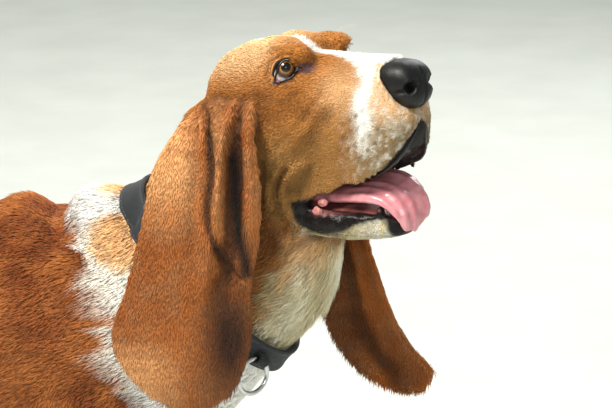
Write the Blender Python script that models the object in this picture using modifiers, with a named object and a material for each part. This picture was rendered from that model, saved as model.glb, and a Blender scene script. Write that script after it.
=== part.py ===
"""A life-size standing basset hound, head turned to its right and raised, mouth open, wearing a collar.

Units are metres. +X is forward, +Y is the hound's left, +Z is up. Lengths below are measured from the
floor point under the withers; the whole model is moved at the end so that the origin is under the middle
of its box.
"""

import math

import bmesh
import bpy
import numpy as np
from mathutils import Matrix, Vector

# Thin cuts and touching pieces keep this gap.
GAP = 0.0003
# Edges shorter than this are closed up after a cut.
SHORTEST_EDGE = 0.000001

# The head's own frame: its origin is midway between the eyes, f runs forward, l to the hound's left, u up.
EYE_MIDPOINT = Vector((0.248, -0.085, 0.517))
HEAD_YAW = math.radians(-40)
HEAD_PITCH = math.radians(13)
HEAD = (
    Matrix.Translation(EYE_MIDPOINT)
    @ Matrix.Rotation(HEAD_YAW, 4, "Z")
    @ Matrix.Rotation(-HEAD_PITCH, 4, "Y")
)

EYE_RADIUS = 0.0115
EYE_CENTRE = (-0.0075, 0.0305, -0.002)

# Trunk: x, top of the back, bottom of the keel or belly, half width.
TRUNK = (
    (0.182, 0.265, 0.190, 0.026),
    (0.165, 0.290, 0.155, 0.056),
    (0.120, 0.333, 0.120, 0.090),
    (0.050, 0.352, 0.098, 0.108),
    (0.020, 0.350, 0.095, 0.112),
    (-0.014, 0.367, 0.092, 0.116),
    (-0.056, 0.354, 0.093, 0.118),
    (-0.110, 0.346, 0.098, 0.120),
    (-0.200, 0.347, 0.116, 0.116),
    (-0.290, 0.351, 0.146, 0.099),
    (-0.370, 0.349, 0.172, 0.094),
    (-0.430, 0.332, 0.196, 0.076),
    (-0.462, 0.300, 0.228, 0.036),
)

# The trunk is widest at this part of its height, and narrower below than above by this part of its width.
TRUNK_MIDDLE = 0.52
TRUNK_FLARE = -0.10

# Neck: nape x, y, z, throat x, y, z, half width.
NECK = (
    (0.012, 0.000, 0.338, 0.160, 0.000, 0.150, 0.090),
    (0.040, 0.000, 0.378, 0.195, -0.010, 0.190, 0.083),
    (0.090, -0.008, 0.380, 0.222, -0.036, 0.232, 0.070),
    (0.116, -0.020, 0.426, 0.264, -0.048, 0.286, 0.066),
    (0.146, -0.034, 0.468, 0.274, -0.062, 0.338, 0.064),
    (0.195, -0.055, 0.490, 0.272, -0.085, 0.400, 0.050),
)
# Planes where the neck leaves the trunk and the head leaves the neck: a point, the direction ahead.
NECK_BASE = ((0.120, 0.0, 0.270), (0.835, 0.0, 0.550))
HEAD_BASE = ((0.210, -0.052, 0.407), (0.620, -0.170, 0.770))

# Collar: the neck station under its middle, the webbing's width and thickness, and how far out it lies.
COLLAR_STATION = 2
COLLAR_STEPS = 10
COLLAR_WIDTH = 0.026
COLLAR_THICKNESS = 0.004
COLLAR_STANDOFF = 0.002
RING_ANGLE = math.radians(-130)
RING_RADIUS = 0.0160
RING_WIRE = 0.0021
KEEPER_LENGTH = 0.012
KEEPER_WALL = 0.0018

# Tail: x, y, z, radius.
TAIL = (
    (-0.425, 0.000, 0.305, 0.027),
    (-0.468, 0.000, 0.325, 0.024),
    (-0.512, 0.004, 0.362, 0.019),
    (-0.543, 0.008, 0.420, 0.015),
    (-0.554, 0.010, 0.485, 0.0115),
    (-0.547, 0.010, 0.548, 0.005),
)

# Legs: x, distance from the middle, z, half length fore and aft, half width.
FORE_LEG = (
    (0.040, 0.078, 0.245, 0.046, 0.026),
    (0.012, 0.084, 0.200, 0.044, 0.034),
    (0.002, 0.084, 0.160, 0.040, 0.034),
    (0.012, 0.075, 0.120, 0.032, 0.030),
    (0.022, 0.066, 0.085, 0.028, 0.028),
    (0.030, 0.070, 0.052, 0.029, 0.030),
    (0.038, 0.076, 0.022, 0.030, 0.030),
)
HIND_LEG = (
    (-0.365, 0.062, 0.265, 0.070, 0.030),
    (-0.355, 0.074, 0.215, 0.074, 0.038),
    (-0.366, 0.080, 0.172, 0.057, 0.035),
    (-0.400, 0.080, 0.134, 0.037, 0.026),
    (-0.427, 0.079, 0.098, 0.026, 0.021),
    (-0.425, 0.081, 0.060, 0.023, 0.022),
    (-0.418, 0.083, 0.022, 0.026, 0.025),
)
# Paws: x, distance from the middle, half length, half width, height, how far the toes turn out.
FORE_PAW = (0.048, 0.080, 0.048, 0.041, 0.042, math.radians(14))
HIND_PAW = (-0.405, 0.085, 0.041, 0.034, 0.035, math.radians(6))
# Toes: how far ahead of the paw's middle, how far aside and how high, as parts of the paw's own size.
TOES = ((0.66, -0.66, 0.44), (0.98, -0.24, 0.50), (0.98, 0.24, 0.50), (0.66, 0.66, 0.44))
TOE_RADII = (0.021, 0.0125)
# The paw reaches this far below the floor before its sole is cut level.
SOLE_CUT = 0.004
# The back of the paw: how far behind its middle, its height and its half height, as parts of its size.
PAW_BACK = (-0.1, 0.46, 0.56)
# Claws: where each starts from its toe's middle, its length, its radius, how far it curves and slopes down.
CLAW_START = (0.013, 0.004)
CLAW_LENGTH = 0.014
CLAW_RADIUS = 0.0032
CLAW_DROP = (0.008, 0.004)
# How far along the claw, and its width there.
CLAW_OUTLINE = ((0, 1), (0.55, 0.9), (1, 0.3))

# Masses of the shoulders, elbows and thighs: place, radii, lean in degrees.
SHOULDERS_AND_THIGHS = (
    ((0.035, 0.062, 0.252), (0.066, 0.048, 0.096), -25),
    ((0.035, 0.074, 0.200), (0.065, 0.038, 0.050), 0),
    ((-0.362, 0.056, 0.250), (0.084, 0.047, 0.092), 0),
)

# Masses of the head, in its own frame: the skull in the middle, then pairs for the forehead, brows, cheeks,
# lower lids, the sides of the muzzle's root and the jowls.
SKULL = ((-0.058, 0.000, -0.024), (0.058, 0.054, 0.047))
HEAD_PAIRS = (
    ((-0.030, 0.012, -0.001), (0.038, 0.026, 0.027)),
    ((-0.008, 0.027, 0.009), (0.026, 0.014, 0.011)),
    ((-0.032, 0.030, -0.060), (0.048, 0.026, 0.048)),
    ((-0.004, 0.029, -0.019), (0.026, 0.012, 0.010)),
    ((0.016, 0.020, -0.030), (0.040, 0.018, 0.028)),
    ((-0.036, 0.022, -0.116), (0.030, 0.023, 0.042)),
)

# Muzzle with its hanging lips, in the head's frame: f, bridge u, lip u, half widths of bridge and lips.
MUZZLE = (
    (-0.012, 0.010, -0.135, 0.030, 0.044),
    (0.020, 0.007, -0.124, 0.024, 0.046),
    (0.045, 0.003, -0.119, 0.022, 0.045),
    (0.068, 0.000, -0.112, 0.022, 0.041),
    (0.086, -0.002, -0.095, 0.021, 0.034),
    (0.098, -0.006, -0.078, 0.018, 0.024),
    (0.105, -0.014, -0.064, 0.012, 0.014),
)
# Hollow of the mouth: f, roof u, floor u, half width.
MOUTH = (
    (-0.030, -0.100, -0.128, 0.018),
    (-0.010, -0.082, -0.150, 0.032),
    (0.040, -0.066, -0.160, 0.034),
    (0.075, -0.060, -0.160, 0.028),
    (0.093, -0.060, -0.120, 0.014),
)
# Lower jaw: f, lip u, base u, half width.
JAW = (
    (-0.034, -0.112, -0.148, 0.034),
    (-0.008, -0.120, -0.153, 0.037),
    (0.024, -0.127, -0.157, 0.036),
    (0.050, -0.131, -0.158, 0.029),
    (0.068, -0.134, -0.157, 0.020),
    (0.077, -0.141, -0.152, 0.009),
)
# The jaw is this much narrower at its base.
JAW_TAPER = 0.86
# Lower canine teeth: f, l and u of the root, radius, height; then their outline and how far they lean.
CANINE = (0.060, 0.019, -0.138, 0.0035, 0.013)
CANINE_OUTLINE = ((0, 1), (0.45, 0.85), (0.8, 0.55), (1, 0.12))
CANINE_LEAN = 0.2
# Tongue: f, l, u of its middle, half width, half thickness, how far it rolls over to the right, in degrees.
TONGUE = (
    (-0.018, 0.000, -0.114, 0.022, 0.007, 4),
    (0.020, 0.000, -0.113, 0.027, 0.007, 12),
    (0.048, -0.003, -0.112, 0.026, 0.006, 17),
    (0.070, -0.005, -0.117, 0.023, 0.0055, 19),
    (0.0820, -0.006, -0.129, 0.020, 0.005, 20),
    (0.0840, -0.007, -0.141, 0.016, 0.0045, 17),
    (0.0815, -0.009, -0.150, 0.007, 0.004, 12),
)
# Nose leather: f, top u, bottom u, half width.
NOSE = (
    (0.080, -0.006, -0.044, 0.0205),
    (0.092, -0.006, -0.048, 0.0230),
    (0.104, -0.008, -0.049, 0.0220),
    (0.111, -0.013, -0.045, 0.0185),
    (0.1145, -0.020, -0.038, 0.0115),
)
# The leather is this much narrower at its base.
NOSE_TAPER = 0.8
# Nostrils: a round opening and the slit running back from it, each a place and radii along f, l and u.
NOSTRILS = (
    ((0.1125, 0.0105, -0.0265), (0.0080, 0.0046, 0.0058)),
    ((0.1060, 0.0190, -0.0320), (0.0080, 0.0055, 0.0022)),
)

# Ears, from root to tip: x, y, z of the hind edge, then of the front edge.
RIGHT_EAR = (
    (0.160, -0.068, 0.478, 0.197, -0.098, 0.492),
    (0.134, -0.098, 0.463, 0.197, -0.126, 0.462),
    (0.110, -0.105, 0.428, 0.203, -0.138, 0.422),
    (0.098, -0.117, 0.375, 0.201, -0.144, 0.375),
    (0.084, -0.129, 0.322, 0.193, -0.147, 0.328),
    (0.072, -0.136, 0.288, 0.195, -0.148, 0.294),
    (0.080, -0.141, 0.262, 0.189, -0.149, 0.264),
    (0.103, -0.146, 0.236, 0.176, -0.150, 0.237),
    (0.126, -0.148, 0.223, 0.156, -0.149, 0.222),
)
LEFT_EAR = (
    (0.217, 0.000, 0.480, 0.254, -0.030, 0.490),
    (0.226, 0.028, 0.458, 0.278, -0.006, 0.460),
    (0.229, 0.036, 0.405, 0.292, -0.004, 0.402),
    (0.240, 0.032, 0.348, 0.293, -0.018, 0.346),
    (0.248, 0.025, 0.305, 0.306, -0.030, 0.302),
    (0.254, 0.012, 0.262, 0.322, -0.041, 0.262),
    (0.268, -0.014, 0.234, 0.340, -0.050, 0.238),
    (0.290, -0.036, 0.214, 0.356, -0.056, 0.222),
    (0.316, -0.052, 0.203, 0.347, -0.060, 0.205),
)
EAR_HALF_THICKNESS = 0.0042
# The ear is this much thinner at its rim.
EAR_RIM = 0.45
# Gaps between the points across an ear, crowded towards its front edge.
EAR_COLUMNS = 12
EAR_CROWDING = 1.5
# Long folds of an ear: place across it from the front, half spread, height, and how far down it fades.
RIGHT_FOLDS = (
    (0.08, 0.065, 0.010, 0.52),
    (0.23, 0.065, -0.014, 0.60),
    (0.37, 0.070, 0.009, 0.64),
    (0.60, 0.120, -0.003, 0.80),
)
LEFT_FOLDS = ((0.20, 0.15, 0.004, 0.90), (0.56, 0.10, 0.006, 0.95), (0.80, 0.13, -0.012, 1.00))
EAR_BELLY = 0.010

# How the overlapping shapes melt together: size of the cells, rounds of smoothing, triangles kept.
TORSO_SKIN = (0.0032, 8, 1940)
LEG_SKIN = (0.0028, 4, 205)

# Points around each swept section.
BODY_POINTS = 32
MOUTH_POINTS = 18
JAW_POINTS = 16
NOSE_POINTS = 16
TONGUE_POINTS = 12
TAIL_POINTS = 10
TOOTH_POINTS = 8
CLAW_POINTS = 6
COLLAR_POINTS = 24
KEEPER_POINTS = 12
WIRE_POINTS = 6
RING_POINTS = 20
BALL_POINTS = (32, 20)
EYE_POINTS = (12, 8)
NOSTRIL_POINTS = (7, 5)

# Materials: colour, roughness, how metallic.
MATERIALS = {
    "tan coat": ((0.43, 0.19, 0.075), 0.85, 0.0),
    "red coat": ((0.34, 0.13, 0.045), 0.85, 0.0),
    "ear coat": ((0.22, 0.075, 0.025), 0.85, 0.0),
    "white coat": ((0.80, 0.76, 0.70), 0.85, 0.0),
    "cream coat": ((0.66, 0.58, 0.46), 0.85, 0.0),
    "brown eye": ((0.12, 0.05, 0.015), 0.05, 0.0),
    "claw horn": ((0.09, 0.06, 0.045), 0.35, 0.0),
    "nose leather": ((0.012, 0.011, 0.012), 0.4, 0.0),
    "tongue": ((0.62, 0.22, 0.24), 0.3, 0.0),
    "black webbing": ((0.018, 0.019, 0.022), 0.75, 0.0),
    "steel": ((0.62, 0.62, 0.60), 0.25, 1.0),
}


def clear_scene():
    for obj in list(bpy.data.objects):
        bpy.data.objects.remove(obj)


def paint(obj, name):
    """Gives the object its material, made at its first use."""
    made = bpy.data.materials.get(name)
    if made is None:
        colour, roughness, metallic = MATERIALS[name]
        made = bpy.data.materials.new(name)
        made.use_nodes = True
        shader = made.node_tree.nodes["Principled BSDF"]
        shader.inputs["Base Color"].default_value = (*colour, 1.0)
        shader.inputs["Roughness"].default_value = roughness
        shader.inputs["Metallic"].default_value = metallic
    obj.data.materials.clear()
    obj.data.materials.append(made)


def through(stations, steps):
    """Rows read from a smooth curve through the stations, with this many steps to each gap."""
    rows = np.array(stations, float)
    ends = np.vstack([2 * rows[0] - rows[1], rows, 2 * rows[-1] - rows[-2]])
    found = []
    for i in range(1, len(ends) - 2):
        before, start, stop, after = ends[i - 1 : i + 3]
        for t in np.linspace(0, 1, steps, endpoint=False):
            bend = (2 * before - 5 * start + 4 * stop - after) * t**2
            swing = (3 * start - before - 3 * stop + after) * t**3
            found.append(start + ((stop - before) * t + bend + swing) / 2)
    return [*found, rows[-1]]


def ring(centre, side, up, half_width, rise, drop, power=2.2, flare=0.0, points=BODY_POINTS):
    """A rounded section: half_width to each side, rise above, drop below, wider below by the flare."""
    made = []
    for i in range(points):
        angle = 2 * math.pi * i / points
        c, s = math.cos(angle), math.sin(angle)
        across = math.copysign(abs(c) ** (2 / power), c) * half_width * (1 - flare * s)
        height = math.copysign(abs(s) ** (2 / power), s) * (rise if s > 0 else drop)
        made.append(Vector(centre) + Vector(side) * across + Vector(up) * height)
    return made


def add_loft(clay, rings):
    """Joins rings of equal length into a closed tube with a flat face at each end."""
    rows = [[clay.verts.new(point) for point in one] for one in rings]
    for low, high in zip(rows, rows[1:]):
        for i in range(len(low)):
            j = (i + 1) % len(low)
            clay.faces.new((low[i], low[j], high[j], high[i]))
    clay.faces.new(rows[0][::-1])
    clay.faces.new(rows[-1])


def add_ball(clay, centre, radii, turn, points=BALL_POINTS):
    """An ellipsoid, its radii along x, y and z before the turn."""
    place = Matrix.Translation(centre) @ turn @ Matrix.Diagonal((*radii, 1))
    around, along = points
    bmesh.ops.create_uvsphere(clay, u_segments=around, v_segments=along, radius=1, matrix=place)


def add_head_ball(clay, place, radii, side, points=BALL_POINTS):
    """An ellipsoid in the head's own directions, on its left for side 1 and its right for side -1."""
    f, l, u = place
    turn = HEAD.to_3x3().to_4x4()
    add_ball(clay, HEAD @ Vector((f, side * l, u)), radii, turn, points)


def add_band(clay, sections):
    """Joins rings of equal length, the last back to the first, into a closed band."""
    rows = [[clay.verts.new(point) for point in section] for section in sections]
    for low, high in zip(rows, rows[1:] + rows[:1]):
        for i in range(len(low)):
            j = (i + 1) % len(low)
            clay.faces.new((low[i], low[j], high[j], high[i]))


def new_object(name, clay, collection):
    bmesh.ops.recalc_face_normals(clay, faces=clay.faces)
    mesh = bpy.data.meshes.new(name)
    clay.to_mesh(mesh)
    clay.free()
    obj = bpy.data.objects.new(name, mesh)
    collection.objects.link(obj)
    return obj


def new_cutter(name, clay, cutters):
    cutter = new_object(name, clay, cutters)
    cutter.hide_render = True
    cutter.display_type = "WIRE"
    return cutter


def bake(obj):
    """Turns the object's modifiers into its mesh."""
    graph = bpy.context.evaluated_depsgraph_get()
    mesh = bpy.data.meshes.new_from_object(obj.evaluated_get(graph))
    obj.modifiers.clear()
    obj.data = mesh
    return obj


def triangles(obj):
    return sum(len(face.vertices) - 2 for face in obj.data.polygons)


def fuse(obj, voxel, smoothing, budget):
    """Melts overlapping shapes into one skin, smooths it and thins it to about the budget of triangles."""
    remesh = obj.modifiers.new("Remesh", "REMESH")
    remesh.mode = "VOXEL"
    remesh.voxel_size = voxel
    smooth = obj.modifiers.new("Smooth", "SMOOTH")
    smooth.factor = 0.5
    smooth.iterations = smoothing
    return thin(bake(obj), budget)


def thin(obj, budget):
    decimate = obj.modifiers.new("Decimate", "DECIMATE")
    decimate.ratio = min(1.0, budget / triangles(obj))
    return bake(obj)


def boolean(obj, other, operation):
    modifier = obj.modifiers.new(operation, "BOOLEAN")
    modifier.operation = operation
    modifier.object = other
    modifier.solver = "EXACT"
    bake(obj)
    return keep_largest(obj)


def keep_largest(obj):
    """Drops the crumbs that a cut can leave."""
    clay = bmesh.new()
    clay.from_mesh(obj.data)
    bmesh.ops.dissolve_degenerate(clay, edges=clay.edges, dist=SHORTEST_EDGE)
    bmesh.ops.triangulate(clay, faces=clay.faces)
    left = set(clay.verts)
    islands = []
    while left:
        stack, island = [left.pop()], []
        while stack:
            vert = stack.pop()
            island.append(vert)
            for edge in vert.link_edges:
                other = edge.other_vert(vert)
                if other in left:
                    left.discard(other)
                    stack.append(other)
        islands.append(island)
    islands.sort(key=len)
    crumbs = [vert for island in islands[:-1] for vert in island]
    bmesh.ops.delete(clay, geom=crumbs, context="VERTS")
    clay.to_mesh(obj.data)
    clay.free()
    return obj


def grown(obj, by, cutters):
    """A cutter: a copy of the object, swollen by this much."""
    clay = bmesh.new()
    clay.from_mesh(obj.data)
    copy = new_cutter(obj.name + "_cutter", clay, cutters)
    swell = copy.modifiers.new("Swell", "DISPLACE")
    swell.strength = by
    swell.mid_level = 0
    return bake(copy)


def cut_clear(obj, others, cutters):
    """Cuts the object back from its neighbours, leaving the gap."""
    for other in others:
        boolean(obj, grown(other, GAP, cutters), "DIFFERENCE")
    return obj


def beyond_plane(obj, name, point, normal, collection):
    """A new object: what of obj lies beyond the plane, on its normal's side, less half the gap."""
    clay = bmesh.new()
    clay.from_mesh(obj.data)
    start = Vector(point) + Vector(normal).normalized() * GAP / 2
    found = bmesh.ops.bisect_plane(
        clay,
        geom=[*clay.verts, *clay.edges, *clay.faces],
        plane_co=start,
        plane_no=normal,
        clear_inner=True,
    )
    rim = [e for e in found["geom_cut"] if isinstance(e, bmesh.types.BMEdge)]
    bmesh.ops.triangle_fill(clay, edges=rim, use_beauty=True)
    bmesh.ops.holes_fill(clay, edges=clay.edges)
    return keep_largest(new_object(name, clay, collection))


def trunk_rings():
    rings = []
    for x, top, bottom, half_width in through(TRUNK, 4):
        middle = bottom + TRUNK_MIDDLE * (top - bottom)
        rise, drop = top - middle, middle - bottom
        rings.append(ring((x, 0, middle), (0, 1, 0), (0, 0, 1), half_width, rise, drop, 2.3, TRUNK_FLARE))
    return rings


def neck_frame(station):
    """The middle of a neck section, its directions to the left and to the nape, and its half height."""
    nape, throat = Vector(station[:3]), Vector(station[3:6])
    ahead = (throat - nape).xy.normalized()
    side = Vector((-ahead.y, ahead.x, 0))
    return (nape + throat) / 2, side, (nape - throat).normalized(), (nape - throat).length / 2


def neck_rings():
    rings = []
    for station in through(NECK, 4):
        centre, side, up, half = neck_frame(station)
        rings.append(ring(centre, side, up, station[6], half, half, power=2.1))
    return rings


def make_tail(collection):
    clay = bmesh.new()
    rows = through(TAIL, 2)
    rings = []
    for i, row in enumerate(rows):
        ahead = Vector(rows[min(i + 1, len(rows) - 1)][:3])
        behind = Vector(rows[max(i - 1, 0)][:3])
        side = Vector((0, 1, 0))
        up = side.cross(ahead - behind).normalized()
        rings.append(ring(row[:3], side, up, row[3], row[3], row[3], 2, points=TAIL_POINTS))
    add_loft(clay, rings)
    return new_object("tail", clay, collection)


def add_shoulders_and_thighs(clay):
    for (x, y, z), radii, lean in SHOULDERS_AND_THIGHS:
        for side in (-1, 1):
            turn = Matrix.Rotation(math.radians(lean), 4, "Y")
            add_ball(clay, (x, side * y, z), radii, turn)


def head_ring(f, top, bottom, above, below, power=2.4, points=BODY_POINTS):
    """A section across the head: half widths above and below its middle, squarer with a greater power."""
    middle = (top + bottom) / 2
    mean = (above + below) / 2
    flare = (below - above) / (below + above)
    side, up = Vector((0, 1, 0)), Vector((0, 0, 1))
    section = ring((f, 0, middle), side, up, mean, top - middle, middle - bottom, power, flare, points)
    return [HEAD @ point for point in section]


def add_head(clay):
    add_head_ball(clay, *SKULL, 1)
    for place, radii in HEAD_PAIRS:
        for side in (-1, 1):
            add_head_ball(clay, place, radii, side)
    rings = [
        head_ring(f, bridge, lip, above, below, 3.0)
        for f, bridge, lip, above, below in through(MUZZLE, 4)
    ]
    add_loft(clay, rings)


def make_torso(collection):
    clay = bmesh.new()
    add_loft(clay, trunk_rings())
    add_loft(clay, neck_rings())
    add_shoulders_and_thighs(clay)
    add_head(clay)
    return fuse(new_object("torso", clay, collection), *TORSO_SKIN)


def mouth_cutter(cutters):
    clay = bmesh.new()
    rings = [
        head_ring(f, roof, floor, half, half, 3.0, MOUTH_POINTS)
        for f, roof, floor, half in through(MOUTH, 1)
    ]
    add_loft(clay, rings)
    return new_cutter("mouth_cutter", clay, cutters)


def make_jaw(collection):
    clay = bmesh.new()
    rings = [
        head_ring(f, lip, base, half, half * JAW_TAPER, 2.8, JAW_POINTS)
        for f, lip, base, half in through(JAW, 1)
    ]
    add_loft(clay, rings)
    jaw = new_object("lower_jaw", clay, collection)
    f, l, u, radius, height = CANINE
    for side in (-1, 1):
        clay = bmesh.new()
        rings = []
        for rise, width in CANINE_OUTLINE:
            centre = HEAD @ Vector((f + CANINE_LEAN * height * rise, side * l, u + height * rise))
            size = radius * width
            rings.append(ring(centre, (1, 0, 0), (0, 1, 0), size, size, size, 2, points=TOOTH_POINTS))
        add_loft(clay, rings)
        tooth = new_object("tooth", clay, collection)
        boolean(jaw, tooth, "UNION")
        bpy.data.objects.remove(tooth)
    return jaw


def make_tongue(collection):
    clay = bmesh.new()
    rows = through(TONGUE, 2)
    rings = []
    for i, row in enumerate(rows):
        f, l, u, half_width, half_thickness, roll = row
        ahead, behind = rows[min(i + 1, len(rows) - 1)], rows[max(i - 1, 0)]
        along = Vector((ahead[0] - behind[0], 0, ahead[2] - behind[2])).normalized()
        side = Matrix.Rotation(math.radians(roll), 3, along) @ Vector((0, 1, 0))
        up = along.cross(side)
        half = half_thickness
        section = ring((f, l, u), side, up, half_width, half, half, 2.4, points=TONGUE_POINTS)
        rings.append([HEAD @ point for point in section])
    add_loft(clay, rings)
    return new_object("tongue", clay, collection)


def make_nose(collection, cutters):
    clay = bmesh.new()
    rings = [
        head_ring(f, top, bottom, half, half * NOSE_TAPER, 2.4, NOSE_POINTS)
        for f, top, bottom, half in through(NOSE, 1)
    ]
    add_loft(clay, rings)
    nose = new_object("nose_leather", clay, collection)
    for place, radii in NOSTRILS:
        for side in (-1, 1):
            clay = bmesh.new()
            add_head_ball(clay, place, radii, side, NOSTRIL_POINTS)
            boolean(nose, new_cutter("nostril_cutter", clay, cutters), "DIFFERENCE")
    return nose


def make_eye(name, side, collection):
    clay = bmesh.new()
    f, l, u = EYE_CENTRE
    radii = (EYE_RADIUS, EYE_RADIUS, EYE_RADIUS)
    add_ball(clay, HEAD @ Vector((f, side * l, u)), radii, Matrix.Identity(4), EYE_POINTS)
    return new_object(name, clay, collection)


def fold_height(across, down, folds):
    """How far an ear's surface stands out at this place across it and down it."""
    height = EAR_BELLY * math.sin(math.pi * across) * min(1.0, 2 * down)
    for place, spread, rise, fades in folds:
        hump = math.exp(-(((across - place) / spread) ** 2))
        height += rise * hump * max(0.0, 1 - (down / fades) ** 2) * min(1.0, 5 * down)
    return height


def make_ear(name, stations, folds, outward, collection):
    """A leaf of even thickness, thinner at its edge, hung from the head and folded lengthwise."""
    rows = through(stations, 2)
    outer, inner = [], []
    for i, row in enumerate(rows):
        hind, front = Vector(row[:3]), Vector(row[3:])
        down = i / (len(rows) - 1)
        ahead = rows[min(i + 1, len(rows) - 1)]
        behind = rows[max(i - 1, 0)]
        drop = Vector((ahead[:3] + ahead[3:] - behind[:3] - behind[3:]) / 2)
        out = (front - hind).cross(drop).normalized() * outward
        tops, bottoms = [], []
        for column in range(EAR_COLUMNS + 1):
            across = (column / EAR_COLUMNS) ** EAR_CROWDING
            middle = front.lerp(hind, across) + out * fold_height(across, down, folds)
            edge = min(1.0, 4 * min(across, 1 - across, 2 * (1 - down)))
            half = EAR_HALF_THICKNESS * (EAR_RIM + (1 - EAR_RIM) * edge)
            tops.append(middle + out * half)
            bottoms.append(middle - out * half)
        outer.append(tops)
        inner.append(bottoms)
    clay = bmesh.new()
    add_loft(clay, [top + bottom[::-1] for top, bottom in zip(outer, inner)])
    return new_object(name, clay, collection)


def add_paw(clay, paw, side):
    x, y, half_length, half_width, height, turn = paw
    place = Matrix.Translation((x, side * y, 0)) @ Matrix.Rotation(side * turn, 4, "Z")
    spin = Matrix.Rotation(side * turn, 4, "Z")
    back, middle, half_height = PAW_BACK
    body = place @ Vector((back * half_length, 0, height * middle - SOLE_CUT))
    add_ball(clay, body, (half_length, half_width, height * half_height), spin)
    for ahead, aside, toe in TOES:
        centre = place @ Vector((ahead * half_length, aside * half_width, height * toe - SOLE_CUT))
        add_ball(clay, centre, (*TOE_RADII, height * toe), spin)


def make_leg(name, stations, paw, side, collection):
    clay = bmesh.new()
    rings = []
    for x, y, z, half_length, half_width in through(stations, 4):
        centre = (x, side * y, z)
        rings.append(ring(centre, (1, 0, 0), (0, 1, 0), half_length, half_width, half_width))
    add_loft(clay, rings)
    add_paw(clay, paw, side)
    return stand_flat(fuse(new_object(name, clay, collection), *LEG_SKIN))


def stand_flat(leg):
    """Cuts the paw level with the floor."""
    clay = bmesh.new()
    clay.from_mesh(leg.data)
    found = bmesh.ops.bisect_plane(
        clay,
        geom=[*clay.verts, *clay.edges, *clay.faces],
        plane_co=(0, 0, 0),
        plane_no=(0, 0, -1),
        clear_outer=True,
    )
    rim = [e for e in found["geom_cut"] if isinstance(e, bmesh.types.BMEdge)]
    bmesh.ops.triangle_fill(clay, edges=rim, use_beauty=True)
    clay.to_mesh(leg.data)
    clay.free()
    return keep_largest(leg)


def make_claws(name, paw, side, collection):
    """Four short blunt claws, one ahead of each toe."""
    x, y, half_length, half_width, height, turn = paw
    place = Matrix.Translation((x, side * y, 0)) @ Matrix.Rotation(side * turn, 4, "Z")
    claws = []
    for number, (ahead, aside, toe) in enumerate(TOES):
        start = Vector((ahead * half_length, aside * half_width, height * toe))
        start += Vector((CLAW_START[0], 0, CLAW_START[1]))
        rings = []
        for along, width in CLAW_OUTLINE:
            drop = CLAW_DROP[0] * along**2 + CLAW_DROP[1] * along
            centre = start + Vector((CLAW_LENGTH * along, 0, -drop))
            size = CLAW_RADIUS * width
            section = ring(centre, (0, 1, 0), (0, 0, 1), size * 0.75, size, size, 2, points=CLAW_POINTS)
            rings.append([place @ point for point in section])
        clay = bmesh.new()
        add_loft(clay, rings)
        claws.append(new_object(f"{name}_{number + 1}", clay, collection))
    return claws


def collar_ring(shift, outset):
    """A ring of the collar's band: this far along the neck from its middle, this far outside the neck."""
    rows = through(NECK, COLLAR_STEPS)
    start = COLLAR_STATION * COLLAR_STEPS
    sections = []
    for row in (rows[start - 2], rows[start], rows[start + 2]):
        centre, side, up, half = neck_frame(row)
        across, tall = row[6] + outset, half + outset
        sections.append(ring(centre, side, up, across, tall, tall, 2.1, points=COLLAR_POINTS))
    return [m + (h - l).normalized() * shift for l, m, h in zip(*sections)]


def make_collar(collection):
    clay = bmesh.new()
    outer = COLLAR_STANDOFF + COLLAR_THICKNESS
    edge = COLLAR_WIDTH / 2
    edges = ((-edge, COLLAR_STANDOFF), (edge, COLLAR_STANDOFF), (edge, outer), (-edge, outer))
    add_band(clay, [collar_ring(*place) for place in edges])
    return new_object("collar", clay, collection)


def ring_place():
    """Where the collar carries its ring: a point on the band's outer face, its tangent and its normal."""
    centre, side, up, half = neck_frame(NECK[COLLAR_STATION])
    across = NECK[COLLAR_STATION][6]
    c, s = math.cos(RING_ANGLE), math.sin(RING_ANGLE)
    point = centre + side * across * c + up * half * s
    tangent = (up * half * c - side * across * s).normalized()
    out = (side * half * c + up * across * s).normalized()
    return point + out * (COLLAR_STANDOFF + COLLAR_THICKNESS), tangent, out


def make_keeper(collection):
    """A short webbing tube on the collar, through which the ring's wire runs."""
    point, tangent, out = ring_place()
    sag = KEEPER_LENGTH**2 / 8 / RING_RADIUS
    bore = RING_WIRE + sag + 2 * GAP
    radius = bore + KEEPER_WALL
    middle = point + out * (radius + GAP)
    down = tangent.cross(out)
    sections = []
    for shift, size in ((-0.5, bore), (0.5, bore), (0.5, radius), (-0.5, radius)):
        centre = middle + tangent * KEEPER_LENGTH * shift
        sections.append(ring(centre, out, down, size, size, size, 2, points=KEEPER_POINTS))
    clay = bmesh.new()
    add_band(clay, sections)
    return new_object("ring_keeper", clay, collection), middle


def make_ring(top, collection):
    """A round wire ring hanging from the keeper."""
    tangent = ring_place()[1]
    hang = Vector((0, 0, -1))
    hang = (hang - tangent * hang.dot(tangent)).normalized()
    centre = top + hang * RING_RADIUS
    normal = tangent.cross(hang)
    wire = RING_WIRE
    sections = []
    for i in range(RING_POINTS):
        angle = 2 * math.pi * i / RING_POINTS
        out = tangent * math.cos(angle) + hang * math.sin(angle)
        place = centre + out * RING_RADIUS
        sections.append(ring(place, out, normal, wire, wire, wire, 2, points=WIRE_POINTS))
    clay = bmesh.new()
    add_band(clay, sections)
    return new_object("collar_ring", clay, collection)


def centre_under_box(objects):
    """Moves the meshes so that the origin is under the middle of their common box."""
    points = np.array([v.co for obj in objects for v in obj.data.vertices])
    middle = (points.min(axis=0) + points.max(axis=0)) / 2
    for obj in objects:
        obj.data.transform(Matrix.Translation((-middle[0], -middle[1], 0)))
        obj.data.update()


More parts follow.
